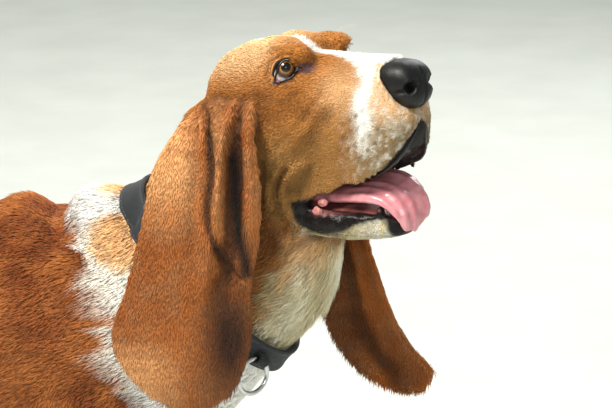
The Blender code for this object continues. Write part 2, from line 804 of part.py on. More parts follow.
def main():
    clear_scene()
    collection = bpy.data.collections.new("basset_hound")
    cutters = bpy.data.collections.new("cutters")
    bpy.context.scene.collection.children.link(collection)
    bpy.context.scene.collection.children.link(cutters)

    whole = make_torso(collection)
    head = beyond_plane(whole, "head", *HEAD_BASE, collection)
    below = beyond_plane(whole, "below", HEAD_BASE[0], [-n for n in HEAD_BASE[1]], collection)
    neck = beyond_plane(below, "neck", *NECK_BASE, collection)
    trunk = beyond_plane(below, "trunk", NECK_BASE[0], [-n for n in NECK_BASE[1]], collection)
    bpy.data.objects.remove(whole)
    bpy.data.objects.remove(below)

    eyes = [make_eye("eye_left", 1, collection), make_eye("eye_right", -1, collection)]
    nose = make_nose(collection, cutters)
    boolean(head, mouth_cutter(cutters), "DIFFERENCE")
    cut_clear(head, [*eyes, nose], cutters)
    jaw = make_jaw(collection)
    cut_clear(head, [jaw], cutters)
    cut_clear(neck, [jaw], cutters)
    tongue = cut_clear(make_tongue(collection), [jaw, head], cutters)
    ears = [
        make_ear("ear_right", RIGHT_EAR, RIGHT_FOLDS, -1, collection),
        make_ear("ear_left", LEFT_EAR, LEFT_FOLDS, 1, collection),
    ]
    for ear in ears:
        cut_clear(ear, [head, neck], cutters)

    legs, claws = [], []
    for name, side in (("left", 1), ("right", -1)):
        for end, stations, paw in (("fore", FORE_LEG, FORE_PAW), ("hind", HIND_LEG, HIND_PAW)):
            leg = make_leg(f"leg_{end}_{name}", stations, paw, side, collection)
            cut_clear(leg, [trunk], cutters)
            legs.append(leg)
            for claw in make_claws(f"claw_{end}_{name}", paw, side, collection):
                claws.append(cut_clear(claw, [leg], cutters))
    tail = cut_clear(make_tail(collection), [trunk], cutters)

    collar = make_collar(collection)
    cut_clear(neck, [collar], cutters)
    keeper, middle = make_keeper(collection)
    cut_clear(keeper, [collar], cutters)
    steel_ring = make_ring(middle, collection)

    painted = {
        "tan coat": [head],
        "cream coat": [neck],
        "red coat": [trunk],
        "white coat": [tail, jaw, *legs],
        "ear coat": ears,
        "brown eye": eyes,
        "claw horn": claws,
        "nose leather": [nose],
        "tongue": [tongue],
        "black webbing": [collar, keeper],
        "steel": [steel_ring],
    }
    for name, objects in painted.items():
        for obj in objects:
            paint(obj, name)
    centre_under_box(list(collection.objects))


main()
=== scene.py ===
import math

import bmesh
import bpy
import numpy as np
from mathutils import Matrix, Vector
from mathutils.bvhtree import BVHTree


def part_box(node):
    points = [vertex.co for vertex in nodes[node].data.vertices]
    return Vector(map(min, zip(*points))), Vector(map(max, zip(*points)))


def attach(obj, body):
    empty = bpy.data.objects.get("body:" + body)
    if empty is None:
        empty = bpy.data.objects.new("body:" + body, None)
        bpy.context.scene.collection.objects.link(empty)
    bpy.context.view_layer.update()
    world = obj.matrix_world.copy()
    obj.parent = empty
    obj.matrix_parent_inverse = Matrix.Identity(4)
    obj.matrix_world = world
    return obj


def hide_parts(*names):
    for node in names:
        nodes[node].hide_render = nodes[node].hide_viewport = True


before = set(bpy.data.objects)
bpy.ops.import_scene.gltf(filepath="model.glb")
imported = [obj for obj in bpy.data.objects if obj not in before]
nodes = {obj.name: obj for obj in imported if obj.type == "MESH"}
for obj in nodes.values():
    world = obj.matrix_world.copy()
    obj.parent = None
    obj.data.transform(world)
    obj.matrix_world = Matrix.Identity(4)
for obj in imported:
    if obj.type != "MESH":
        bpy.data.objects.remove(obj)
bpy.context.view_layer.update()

# A standing basset hound, still and life size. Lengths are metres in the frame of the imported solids.
bpy.ops.object.select_all(action="DESELECT")
chance = np.random.default_rng(11)
bothSides = {"left": 1.0, "right": -1.0}


# Small helpers for meshes, numbers and nodes

def linear(hexText):
    channels = np.array([int(hexText[i:i + 2], 16) / 255 for i in (0, 2, 4)])
    return np.where(channels <= 0.04045, channels / 12.92, ((channels + 0.055) / 1.055) ** 2.4)


def colour(hexText):
    return (*linear(hexText), 1.0)


def addNode(tree, kind, inputs=None, **settings):
    node = tree.nodes.new(kind)
    for name, value in settings.items():
        setattr(node, name, value)
    for name, value in (inputs or {}).items():
        if isinstance(value, bpy.types.NodeSocket):
            tree.links.new(value, node.inputs[name])
        else:
            node.inputs[name].default_value = value
    return node


def newMaterial(name, values):
    material = bpy.data.materials.new(name)
    material.use_nodes = True
    shader = material.node_tree.nodes["Principled BSDF"]
    for key, value in values.items():
        shader.inputs[key].default_value = value
    return material, material.node_tree, shader


def ramp(tree, factor, stops):
    # a colour ramp from pairs of place and hex colour
    node = addNode(tree, "ShaderNodeValToRGB", {"Fac": factor})
    band = node.color_ramp
    while len(band.elements) < len(stops):
        band.elements.new(0.5)
    for element, (place, hexText) in zip(band.elements, stops):
        element.position = place
        element.color = colour(hexText)
    return node.outputs["Color"]


def objectPlace(tree):
    return addNode(tree, "ShaderNodeTexCoord").outputs["Object"]


def objectNoise(tree, scale, detail=2.0, stretch=None, rough=0.5):
    # noise over the piece's own place, drawn out along an axis where stretch is below 1
    place = objectPlace(tree)
    if stretch:
        place = addNode(tree, "ShaderNodeMapping", {"Vector": place, "Scale": stretch}).outputs["Vector"]
    noise = addNode(tree, "ShaderNodeTexNoise", {"Vector": place, "Scale": scale, "Detail": detail,
                                                 "Roughness": rough})
    return noise.outputs["Fac"]


def attribute(tree, name, output="Fac"):
    return addNode(tree, "ShaderNodeAttribute", attribute_name=name).outputs[output]


def remap(tree, value, low, high, fromLow=0.0, fromHigh=1.0):
    node = addNode(tree, "ShaderNodeMapRange", {"Value": value, "From Min": fromLow, "From Max": fromHigh,
                                                "To Min": low, "To Max": high})
    return node.outputs["Result"]


def multiply(tree, first, second):
    node = addNode(tree, "ShaderNodeMix", {"Factor": 1.0}, data_type="RGBA", blend_type="MULTIPLY")
    tree.links.new(first, node.inputs[6])
    tree.links.new(second, node.inputs[7])
    return node.outputs[2]


def mottle(tree, shader, noise, low, high):
    # the base colour between two places of a noise, each with its hex colour
    tree.links.new(ramp(tree, noise, [low, high]), shader.inputs["Base Color"])


def addBump(tree, shader, height, strength, depth):
    bump = addNode(tree, "ShaderNodeBump", {"Height": height, "Strength": strength, "Distance": depth})
    tree.links.new(bump.outputs["Normal"], shader.inputs["Normal"])


def unit(vectors):
    return vectors / np.maximum(np.linalg.norm(vectors, axis=-1, keepdims=True), 1e-12)


def ease(values, low, high):
    share = np.clip((values - low) / (high - low), 0.0, 1.0)
    return share * share * (3.0 - 2.0 * share)


def hill(distance, width):
    return np.exp(-(distance / width) ** 2)


def mix(first, second, share):
    share = np.asarray(share)[..., None]
    return first * (1.0 - share) + second * share


def cloud(points, size, seed=0):
    # smooth value noise from -1 to 1, with one bump about every size metres
    scaled = points / size + seed * 7.31
    cell = np.floor(scaled).astype(np.int64)
    part = scaled - cell
    part = part * part * (3.0 - 2.0 * part)
    total = np.zeros(len(points))
    for corner in np.ndindex(2, 2, 2):
        c = cell + np.array(corner)
        mixed = (c[:, 0] * 73856093) ^ (c[:, 1] * 19349663) ^ (c[:, 2] * 83492791) ^ (seed * 2654435)
        mixed = (mixed ^ (mixed >> 13)) * 1274126177 & 0xFFFFFFFF
        value = ((mixed ^ (mixed >> 16)) & 0xFFFF) / 32767.5 - 1.0
        weight = np.prod(np.where(np.array(corner) == 1, part, 1.0 - part), axis=1)
        total += weight * value
    return total


def linkObject(name, data):
    obj = bpy.data.objects.new(name, data)
    bpy.context.scene.collection.objects.link(obj)
    return obj


def dress(obj, material):
    # one material, smooth shading
    obj.data.materials.append(material)
    obj.data.polygons.foreach_set("use_smooth", np.ones(len(obj.data.polygons), dtype=bool))


def meshObject(name, points, faces, material):
    points, faces = np.asarray(points, dtype=np.float32), np.asarray(faces, dtype=np.int32)
    mesh = bpy.data.meshes.new(name)
    mesh.vertices.add(len(points))
    mesh.vertices.foreach_set("co", points.ravel())
    corners = faces.shape[1]
    mesh.loops.add(faces.size)
    mesh.loops.foreach_set("vertex_index", faces.ravel())
    mesh.polygons.add(len(faces))
    mesh.polygons.foreach_set("loop_start", np.arange(len(faces), dtype=np.int32) * corners)
    mesh.update(calc_edges=True)
    obj = linkObject(name, mesh)
    dress(obj, material)
    return obj


def joinParts(parts):
    # one list of vertices and one of faces from several
    vertices, faces, base = [], [], 0
    for points, corners in parts:
        vertices.append(points)
        faces.append(corners + base)
        base += len(points)
    return np.concatenate(vertices), np.concatenate(faces)


def pointsOf(obj):
    co = np.empty(len(obj.data.vertices) * 3, dtype=np.float32)
    obj.data.vertices.foreach_get("co", co)
    return co.reshape(-1, 3).astype(float)


def setPoints(obj, points):
    obj.data.vertices.foreach_set("co", np.asarray(points, dtype=np.float32).ravel())
    obj.data.update()


def trianglesOf(obj):
    obj.data.calc_loop_triangles()
    corners = np.empty(len(obj.data.loop_triangles) * 3, dtype=np.int32)
    obj.data.loop_triangles.foreach_get("vertices", corners)
    return corners.reshape(-1, 3)


def searchTree(points, faces):
    return BVHTree.FromPolygons(points.tolist(), faces.tolist())


def linksOf(obj):
    # each vertex's neighbours, in one sorted list
    pairs = np.empty(len(obj.data.edges) * 2, dtype=np.int32)
    obj.data.edges.foreach_get("vertices", pairs)
    pairs = pairs.reshape(-1, 2)
    both = np.concatenate([pairs, pairs[:, ::-1]])
    both = both[np.argsort(both[:, 0], kind="stable")]
    count = len(obj.data.vertices)
    starts = np.searchsorted(both[:, 0], np.arange(count))
    sizes = np.maximum(np.bincount(both[:, 0], minlength=count), 1)
    return both[:, 1], starts, sizes


def average(values, links):
    others, starts, sizes = links
    total = np.add.reduceat(values[others], starts, axis=0)
    return total / (sizes[:, None] if values.ndim == 2 else sizes)


def relax(points, links, rounds, strength=1.0):
    # smooths facets away and keeps the volume
    strength = np.broadcast_to(strength, len(points))[:, None]
    for _ in range(rounds):
        points = points + 0.50 * strength * (average(points, links) - points)
        points = points - 0.515 * strength * (average(points, links) - points)
    return points


def averaged(points, links, rounds):
    # plain smoothing, which shrinks
    for _ in range(rounds):
        points = average(points, links)
    return points


def spread(field, links, rounds):
    # lets a field run out over its neighbours
    for _ in range(rounds):
        field = 0.5 * field + 0.5 * average(field, links)
    return field


def normalsOf(points, triangles):
    a, b, c = (points[triangles[:, k]] for k in range(3))
    faceNormal = np.cross(b - a, c - a)
    total = np.zeros_like(points)
    for k in range(3):
        for axis in range(3):
            total[:, axis] += np.bincount(triangles[:, k], faceNormal[:, axis], minlength=len(points))
    return unit(total)


def settle(obj):
    # applies an object's modifiers in their order
    bpy.context.view_layer.objects.active = obj
    for modifier in list(obj.modifiers):
        bpy.ops.object.modifier_apply(modifier=modifier.name)


def addModifier(obj, kind, **settings):
    modifier = obj.modifiers.new(kind.title(), kind)
    for key, value in settings.items():
        setattr(modifier, key, value)
    return modifier


def remeshed(obj, voxel):
    # one closed surface of even cells; returns its vertices and neighbours
    addModifier(obj, "REMESH", mode="VOXEL", voxel_size=voxel)
    settle(obj)
    return pointsOf(obj), linksOf(obj)


def turnOutward(mesh):
    clay = bmesh.new()
    clay.from_mesh(mesh)
    bmesh.ops.recalc_face_normals(clay, faces=clay.faces)
    clay.to_mesh(mesh)
    clay.free()


def solidCopy(name, nodeNames, swell=0.0):
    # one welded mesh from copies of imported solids, each grown by swell so that neighbours overlap
    joined = bmesh.new()
    for nodeName in nodeNames:
        clay = bmesh.new()
        clay.from_mesh(nodes[nodeName].data)
        bmesh.ops.remove_doubles(clay, verts=clay.verts, dist=1e-5)
        clay.normal_update()
        for vertex in clay.verts:
            vertex.co += vertex.normal * swell
        grown = bpy.data.meshes.new(nodeName + "Copy")
        clay.to_mesh(grown)
        clay.free()
        joined.from_mesh(grown)
        bpy.data.meshes.remove(grown)
    mesh = bpy.data.meshes.new(name)
    joined.to_mesh(mesh)
    joined.free()
    return linkObject(name, mesh)


def setColours(obj, colours):
    layer = obj.data.color_attributes.new("coat", "FLOAT_COLOR", "POINT")
    values = np.ones((len(colours), 4), dtype=np.float32)
    values[:, :3] = colours
    layer.data.foreach_set("color", values.ravel())


def setField(obj, name, values):
    layer = obj.data.attributes.new(name, "FLOAT", "POINT")
    layer.data.foreach_set("value", np.asarray(values, dtype=np.float32))


def setUv(obj, name, spots):
    # one place on the map for each face corner
    layer = obj.data.uv_layers.new(name=name)
    layer.data.foreach_set("uv", spots.astype(np.float32).ravel())


def finishPiece(obj, slot, *replaced):
    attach(obj, "root")
    if replaced:
        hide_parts(*replaced)
    print("piece", obj.name, len(obj.data.polygons), "faces")


# Curves and distances

def curveSteps(a, b, c, d, steps):
    # points of a smooth curve from b up to c, which a and d lead into and out of
    made = []
    for k in range(steps):
        t = k / steps
        made.append(0.5 * (2 * b + (c - a) * t + (2 * a - 5 * b + 4 * c - d) * t ** 2
                           + (3 * b - a - 3 * c + d) * t ** 3))
    return made


def curved(line, steps=8):
    # a smooth line through a few points
    points = [np.array(p, dtype=float) for p in line]
    padded = [2 * points[0] - points[1], *points, 2 * points[-1] - points[-2]]
    made = []
    for four in zip(padded, padded[1:], padded[2:], padded[3:]):
        made += curveSteps(*four, steps)
    return [*made, points[-1]]


def roundLoop(points, steps):
    # a smooth closed line through the points
    count, made = len(points), []
    for i in range(count):
        made += curveSteps(*(points[(i + k) % count] for k in (-1, 0, 1, 2)), steps)
    return np.array(made)


def lineDistance(points, line):
    # distance to a line of points, in a plane or in space, and how far along it, 0 to 1
    best, share = np.full(len(points), 1e9), np.zeros(len(points))
    for k, (start, end) in enumerate(zip(line[:-1], line[1:])):
        along = np.clip((points - start) @ (end - start) / ((end - start) @ (end - start)), 0.0, 1.0)
        reach = np.linalg.norm(points - start - along[:, None] * (end - start), axis=1)
        share = np.where(reach < best, (k + along) / (len(line) - 1), share)
        best = np.minimum(best, reach)
    return best, share


def walkedLength(line):
    return np.concatenate([[0.0], np.cumsum(np.linalg.norm(np.diff(line, axis=0), axis=1))])


def thinAxis(points):
    # the direction in which the points spread least
    _, directions = np.linalg.eigh(np.cov((points - points.mean(axis=0)).T))
    return directions[:, 0]


# The head's own axes: forward to the nose, left and up, from the places of the two eyes
headPlan = {
    "turn": -40.0,          # degrees, towards the camera
    "lift": 13.0,           # degrees, nose up
    "eyeForward": -0.0075,  # the eyes' place on those axes
    "eyeUp": -0.0020,
    "eyeRadius": 0.0115,
}
eyeCentres = {}
for sideName in bothSides:
    lowCorner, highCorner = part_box("eye_" + sideName)
    eyeCentres[sideName] = np.array((lowCorner + highCorner) / 2)
headTurn = Matrix.Rotation(math.radians(headPlan["turn"]), 3, "Z")
headTurn = headTurn @ Matrix.Rotation(math.radians(-headPlan["lift"]), 3, "Y")
headAxes = np.array(headTurn)
headOrigin = (eyeCentres["left"] + eyeCentres["right"]) / 2
headOrigin = headOrigin - headAxes @ np.array([headPlan["eyeForward"], 0.0, headPlan["eyeUp"]])


def toHead(points):
    return (points - headOrigin) @ headAxes


def fromHead(places):
    return np.asarray(places) @ headAxes.T + headOrigin


# Camera and light
cameraPlan = {
    "target": (0.3445, -0.0978, 0.3985),
    "distance": 2.2,
    "elevation": 17.0,
    "lens": 151.4,
    "farthest": 30.0,
}


def makeCamera():
    lift = math.radians(cameraPlan["elevation"])
    target = Vector(cameraPlan["target"])
    back = Vector((0.0, -math.cos(lift), math.sin(lift)))
    cameraData = bpy.data.cameras.new("camera")
    cameraData.lens = cameraPlan["lens"]
    cameraData.clip_end = cameraPlan["farthest"]
    camera = linkObject("camera", cameraData)
    camera.location = target + back * cameraPlan["distance"]
    camera.rotation_euler = (-back).to_track_quat("-Z", "Y").to_euler()
    bpy.context.scene.camera = camera


lightPlan = {
    "key": {"at": (-0.80, -0.55, 1.95), "size": 0.9, "power": 62.0, "hex": "FFF8EE"},
    "fill": {"at": (0.35, -2.5, 1.3), "size": 0.7, "power": 13.0, "hex": "FFFBF4"},
    "rim": {"at": (0.9, 1.7, 1.5), "size": 1.2, "power": 16.0, "hex": "FFFFFF"},
    "aim": (0.15, 0.0, 0.35),
    "sky": {"hex": "EDF1EC", "strength": 0.58},
}


def makeLights():
    aim = Vector(lightPlan["aim"])
    for name in ("key", "fill", "rim"):
        plan = lightPlan[name]
        data = bpy.data.lights.new(name, "AREA")
        data.shape = "DISK"
        data.size = plan["size"]
        data.energy = plan["power"]
        data.color = tuple(linear(plan["hex"]))
        lamp = linkObject(name, data)
        lamp.location = plan["at"]
        lamp.rotation_euler = (aim - Vector(plan["at"])).to_track_quat("-Z", "Y").to_euler()
    world = bpy.data.worlds.new("studio")
    world.use_nodes = True
    background = world.node_tree.nodes["Background"]
    background.inputs["Color"].default_value = colour(lightPlan["sky"]["hex"])
    background.inputs["Strength"].default_value = lightPlan["sky"]["strength"]
    bpy.context.scene.world = world
    bpy.context.scene.view_settings.view_transform = "Standard"


def makeFloor():
    # matt painted board, pale and even, with a faint grain so that it isn't dead flat
    material, tree, shader = newMaterial("painted board", {"Roughness": 0.85})
    mottle(tree, shader, objectNoise(tree, 9.0, 4.0), (0.3, "DCE0DA"), (0.7, "E4E8E2"))
    bpy.ops.mesh.primitive_plane_add(size=24.0, location=(0.0, 0.0, 0.0))
    floor = bpy.context.object
    floor.name = "floor"
    floor.data.materials.append(material)


makeCamera()
makeLights()
makeFloor()
print("stage: camera, lights and floor")


# The skin: one surface over head, ears, neck, trunk, legs and tail, inside the solids by the coat's depth
skinPlan = {
    "voxel": 0.0024,
    "swell": 0.0005,
    "bodyRounds": 40,
    "headRounds": 12,
    "maskRounds": 10,
    "triangles": 128000,
    "coarseLevels": 4,
    "lidReach": 0.024,      # finer surface this near to an eye's centre
    "lidCuts": 2,
    "browRounds": 60,
    "lipRounds": 10,
    "noseSink": (0.004, 0.008),     # under the nose leather the skin gives way, inward and backward
}
legNames = ["leg_fore_left", "leg_fore_right", "leg_hind_left", "leg_hind_right"]
fleshNames = ["head", "lower_jaw", "neck", "trunk", "tail", "ear_left", "ear_right", *legNames]
filled = ["eye_left", "eye_right", "nose_leather"]   # their sockets are filled, then shaped


def ownersOf(points, names):
    # the nearest of the named solids for each point
    solids = [(pointsOf(nodes[name]), trianglesOf(nodes[name])) for name in names]
    search = searchTree(*joinParts(solids))
    owners = np.repeat(np.arange(len(names)), [len(faces) for _, faces in solids])
    return owners[[search.find_nearest(p)[2] for p in points.tolist()]]


def masksOf(points, links):
    # how much each flesh solid counts at each point, 0 to 1, with soft borders
    hot = np.eye(len(fleshNames))[ownersOf(points, fleshNames)]
    hot = spread(hot, links, skinPlan["maskRounds"])
    return {name: hot[:, index] for index, name in enumerate(fleshNames)}


def makeSkinForm():
    skin = solidCopy("skin", fleshNames + filled, skinPlan["swell"])
    points, links = remeshed(skin, skinPlan["voxel"])
    masks = masksOf(points, links)
    headShare = masks["head"] + masks["lower_jaw"] + masks["ear_left"] + masks["ear_right"]
    points = relax(points, links, skinPlan["headRounds"])
    body = 1.0 - ease(headShare, 0.2, 0.8)
    points = relax(points, links, skinPlan["bodyRounds"], body)
    setPoints(skin, points)
    # fewer triangles, most of them kept on the head
    before = len(trianglesOf(skin))
    group = skin.vertex_groups.new(name="coarse")
    levels = skinPlan["coarseLevels"]
    for level in range(levels + 1):
        chosen = np.nonzero((body * levels).round() == level)[0]
        group.add(chosen.tolist(), level / levels, "REPLACE")
    addModifier(skin, "DECIMATE", ratio=skinPlan["triangles"] / before, vertex_group="coarse",
                vertex_group_factor=1.0)
    settle(skin)
    print("skin form", before, "to", len(trianglesOf(skin)))
    return skin


def nearEyes(points):
    # true where the lids need a finer surface
    near = np.zeros(len(points), dtype=bool)
    for centre in eyeCentres.values():
        near |= np.linalg.norm(points - centre, axis=1) < skinPlan["lidReach"]
    return near


def refine(skin, chooser, rounds):
    # halves the edges where the chooser says so, then rounds the new facets
    for _ in range(rounds):
        clay = bmesh.new()
        clay.from_mesh(skin.data)
        chosen = chooser(np.array([v.co for v in clay.verts]))
        clay.verts.ensure_lookup_table()
        edges = [e for e in clay.edges if chosen[e.verts[0].index] and chosen[e.verts[1].index]]
        bmesh.ops.subdivide_edges(clay, edges=edges, cuts=1, use_grid_fill=True)
        bmesh.ops.triangulate(clay, faces=[f for f in clay.faces if len(f.verts) > 3])
        clay.to_mesh(skin.data)
        clay.free()
    points, links = pointsOf(skin), linksOf(skin)
    weight = chooser(points).astype(float)
    setPoints(skin, relax(points, links, 3, spread(weight, links, 2)))


skin = makeSkinForm()
refine(skin, nearEyes, skinPlan["lidCuts"])
print("stage: skin form,", len(trianglesOf(skin)), "triangles")

skinPoints, skinLinks, skinFaces = pointsOf(skin), linksOf(skin), trianglesOf(skin)
masks = masksOf(skinPoints, skinLinks)
earMask = masks["ear_left"] + masks["ear_right"]
legMask = sum(masks[name] for name in legNames)
headMask = masks["head"] + masks["lower_jaw"]


# Where the inside of the mouth is looked for, on the head's axes
mouthBox = {
    "forward": (-0.045, 0.112),
    "up": (-0.170, -0.048),
    "corner": -0.016,           # in front of it the mouth is wider
    "asideFront": 0.046,
    "asideBack": 0.030,
    "start": 0.0008,
    "look": 0.030,
}


def mouthShare(points, normals):
    # how far each vertex lies inside the mouth: a short look along its normal meets the other side
    f, side, up = toHead(points).T
    plan = mouthBox
    around = (f > plan["forward"][0]) & (f < plan["forward"][1]) & (up > plan["up"][0]) & (up < plan["up"][1])
    around &= np.abs(side) < np.where(f > plan["corner"], plan["asideFront"], plan["asideBack"])
    around &= headMask > 0.3
    tongue = nodes["tongue"]
    search = searchTree(*joinParts([(points, skinFaces), (pointsOf(tongue), trianglesOf(tongue))]))
    share = np.zeros(len(points))
    for index in np.nonzero(around)[0]:
        start = Vector(points[index] + normals[index] * plan["start"])
        met = search.ray_cast(start, Vector(normals[index]), plan["look"])
        share[index] = met[0] is not None
    return spread(share, skinLinks, 3)


def softenFace(points):
    # rounds off the brows and the edges of the upper lips
    place = toHead(points)
    brow = np.linalg.norm((place - np.array([0.004, 0.0, 0.012])) * np.array([1.0, 0.0, 1.0]), axis=1)
    brow = hill(brow, 0.022) * ease(place[:, 1], 0.008, 0.020) * headMask
    points = relax(points, skinLinks, skinPlan["browRounds"], brow)
    lips = ease(place[:, 0], 0.030, 0.045) * ease(-place[:, 2], 0.052, 0.062) * headMask
    return relax(points, skinLinks, skinPlan["lipRounds"], lips * ease(place[:, 2], -0.122, -0.112))


skinPoints = softenFace(skinPoints)
skinNormals = normalsOf(skinPoints, skinFaces)
mouth = mouthShare(skinPoints, skinNormals)
print("stage: mouth found on", int((mouth > 0.5).sum()), "vertices")


def noseGap(points):
    # distance from the nose leather's surface, negative inside it
    nose = nodes["nose_leather"]
    search = searchTree(pointsOf(nose), trianglesOf(nose))
    gap = np.full(len(points), 1.0)
    for index in np.nonzero(toHead(points)[:, 0] > 0.065)[0]:
        near, outward, _, far = search.find_nearest(Vector(points[index]))
        side = (Vector(points[index]) - near) @ outward
        gap[index] = far if side > 0 else -far
    return gap


gap = noseGap(skinPoints)
underNose = spread(1.0 - ease(gap, 0.0006, 0.0022), skinLinks, 2)
inward, backward = skinPlan["noseSink"]
noseSink = (skinNormals * inward + headAxes[:, 0] * backward) * underNose[:, None]
skinPoints = skinPoints - spread(noseSink, skinLinks, 3)
skinNormals = normalsOf(skinPoints, skinFaces)


# Folds of the head, as lines on the side of the head in forward and up, with width and height
foldPlan = {
    "lines": (
        # over the cheek from the inner corner of the eye down and back
        (((0.035, -0.029), (0.026, -0.037), (0.013, -0.047), (0.005, -0.058), (-0.007, -0.066),
          (-0.020, -0.074)), 0.0048, 0.0017),
        (((0.030, -0.026), (0.018, -0.036), (0.008, -0.048), (-0.002, -0.057), (-0.014, -0.064)),
         0.0026, -0.0018),
        (((0.034, -0.045), (0.017, -0.059), (0.004, -0.073), (-0.008, -0.082)), 0.0042, -0.0007),
        (((0.060, -0.048), (0.049, -0.062), (0.038, -0.074)), 0.0032, -0.0010),
        # round the corner of the mouth and down to the throat
        (((0.005, -0.082), (-0.004, -0.087), (-0.013, -0.092), (-0.0225, -0.100), (-0.0255, -0.108),
          (-0.0245, -0.120), (-0.0225, -0.133), (-0.020, -0.143)), 0.0034, 0.0030),
        (((-0.010, -0.086), (-0.022, -0.0945), (-0.0302, -0.1033), (-0.0306, -0.114), (-0.0285, -0.127),
          (-0.0275, -0.141), (-0.030, -0.156)), 0.0022, -0.0054),
        (((-0.022, -0.089), (-0.0327, -0.0965), (-0.0378, -0.1077), (-0.0390, -0.1205), (-0.0370, -0.135),
          (-0.036, -0.151)), 0.0036, 0.0032),
        (((-0.0340, -0.078), (-0.0400, -0.0974), (-0.0450, -0.1106), (-0.0480, -0.1287), (-0.050, -0.1477),
          (-0.048, -0.165)), 0.0034, -0.0046),
        # brow over the eye and the pouch below it
        (((-0.028, 0.004), (-0.014, 0.015), (0.006, 0.014), (0.018, 0.005)), 0.0038, 0.0018),
        (((-0.028, -0.020), (-0.012, -0.026), (0.010, -0.022)), 0.0028, -0.0014),
    ),
    "lowerLip": {"back": -0.022, "front": 0.094, "bulge": 0.0026, "teeth": 0.0016},
    "lipGroove": 0.0010,
    # long folds down the right ear, in x and z; the first also gets painted shade along it
    "ear": (
        (((0.2607, 0.478), (0.2624, 0.456), (0.2641, 0.429), (0.2600, 0.402), (0.2633, 0.380), (0.2752, 0.357),
          (0.2881, 0.341)), 0.0032, -0.0032),
        (((0.2540, 0.470), (0.2560, 0.430), (0.2530, 0.402), (0.2560, 0.375), (0.2680, 0.350)), 0.0050, 0.0020),
        (((0.2700, 0.460), (0.2710, 0.430), (0.2700, 0.400), (0.2730, 0.378)), 0.0040, 0.0018),
    ),
}


def lowerLip(place):
    # the black bare fold along each side of the lower jaw, 0 to 1
    f, side, up = place[:, 0], np.abs(place[:, 1]), place[:, 2]
    plan = foldPlan["lowerLip"]
    low = np.interp(f, [-0.022, -0.014, 0.004, 0.026, 0.040, 0.054, 0.070, 0.090],
                    [-0.132, -0.143, -0.1475, -0.1450, -0.1402, -0.1383, -0.1383, -0.1375])
    share = ease(up - low, -0.0010, 0.0014) * ease(f, plan["back"], plan["back"] + 0.004)
    share *= (1.0 - ease(f, plan["front"] - 0.010, plan["front"])) * (1.0 - ease(up, -0.116, -0.112))
    return share * ease(side, 0.012, 0.018) * ease(headMask, 0.2, 0.5)


def betweenLips(place):
    # the dark gap between the two upper lips in front, 0 to 1
    f, side, up = place[:, 0], np.abs(place[:, 1]), place[:, 2]
    half = np.interp(-up, [0.056, 0.062, 0.072, 0.083, 0.091, 0.104],
                     [0.0, 0.0055, 0.0150, 0.0215, 0.0270, 0.0300])
    inFront = ease(f, 0.060, 0.066) * ease(-up, 0.055, 0.060) * ease(headMask, 0.3, 0.6)
    return ease(half - side, -0.0008, 0.0012) * inFront


def addFolds(points, normals):
    place = toHead(points)
    face = ease(headMask + masks["neck"], 0.4, 0.8) * (1.0 - ease(earMask, 0.1, 0.4))
    onSide = ease(np.abs(place[:, 1]), 0.012, 0.022) * face * (1.0 - mouth) * (place[:, 0] > -0.09)
    rise = np.zeros(len(points))
    for line, width, height in foldPlan["lines"]:
        rise += height * hill(lineDistance(place[:, [0, 2]], curved(line))[0], width)
    rise *= onSide
    lip = lowerLip(place) * (1.0 - mouth)
    plan = foldPlan["lowerLip"]
    crinkle = plan["teeth"] * cloud(points, 0.0030, 21)
    rise += lip * (plan["bulge"] + crinkle + 0.5 * plan["teeth"] * cloud(points, 0.0016, 22))
    rise -= foldPlan["lipGroove"] * betweenLips(place)
    ear = ease(masks["ear_right"], 0.4, 0.8) * ease(-normals[:, 1], 0.1, 0.5)
    for line, width, height in foldPlan["ear"]:
        rise += height * ear * hill(lineDistance(points[:, [0, 2]], curved(line))[0], width)
    return points + spread(normals * rise[:, None], skinLinks, 1)


def hollowOf(points, normals, rounds, size):
    # how hollow the surface is: 1 in a valley this deep, -1 on a ridge this high
    smooth = averaged(points, skinLinks, rounds)
    return np.clip(((smooth - points) * normals).sum(axis=1) / size, -1.0, 1.0)


# How deep the coat lies over the skin
coatPlan = {
    "depth": {"head": 0.0022, "lower_jaw": 0.0022, "neck": 0.0042, "trunk": 0.0036, "tail": 0.0042,
              "ear_left": 0.0016, "ear_right": 0.0016, "leg": 0.0032},
    "pawDepth": 0.0018,
    "noseDepth": 0.0006,
    "gapThin": 0.7,         # how much thinner between the upper lips
    "lipThin": 0.85,        # and along the mouth's edge
    "lipRounds": 22,
}


def coatDepth(points):
    place = toHead(points)
    plan = coatPlan["depth"]
    depth = sum(masks[name] * plan.get(name, plan["leg"]) for name in fleshNames)
    low = 1.0 - ease(points[:, 2], 0.03, 0.09)
    depth = depth * (1.0 - low * legMask) + coatPlan["pawDepth"] * low * legMask
    muzzle = ease(place[:, 0], 0.05, 0.10) * headMask
    depth = depth * (1.0 - muzzle) + coatPlan["noseDepth"] * muzzle
    depth = depth * (1.0 - ease(mouth, 0.1, 0.5)) * (1.0 - coatPlan["gapThin"] * betweenLips(place))
    thin = ease(spread(mouth, skinLinks, coatPlan["lipRounds"]), 0.01, 0.12)
    thin *= ease(place[:, 2], -0.126, -0.118)
    depth = depth * (1.0 - coatPlan["lipThin"] * thin)
    return depth * ease(points[:, 2], 0.0005, 0.004)


skinPoints = addFolds(skinPoints, skinNormals)
skinNormals = normalsOf(skinPoints, skinFaces)
skinPoints = skinPoints - spread(skinNormals * coatDepth(skinPoints)[:, None], skinLinks, 8)


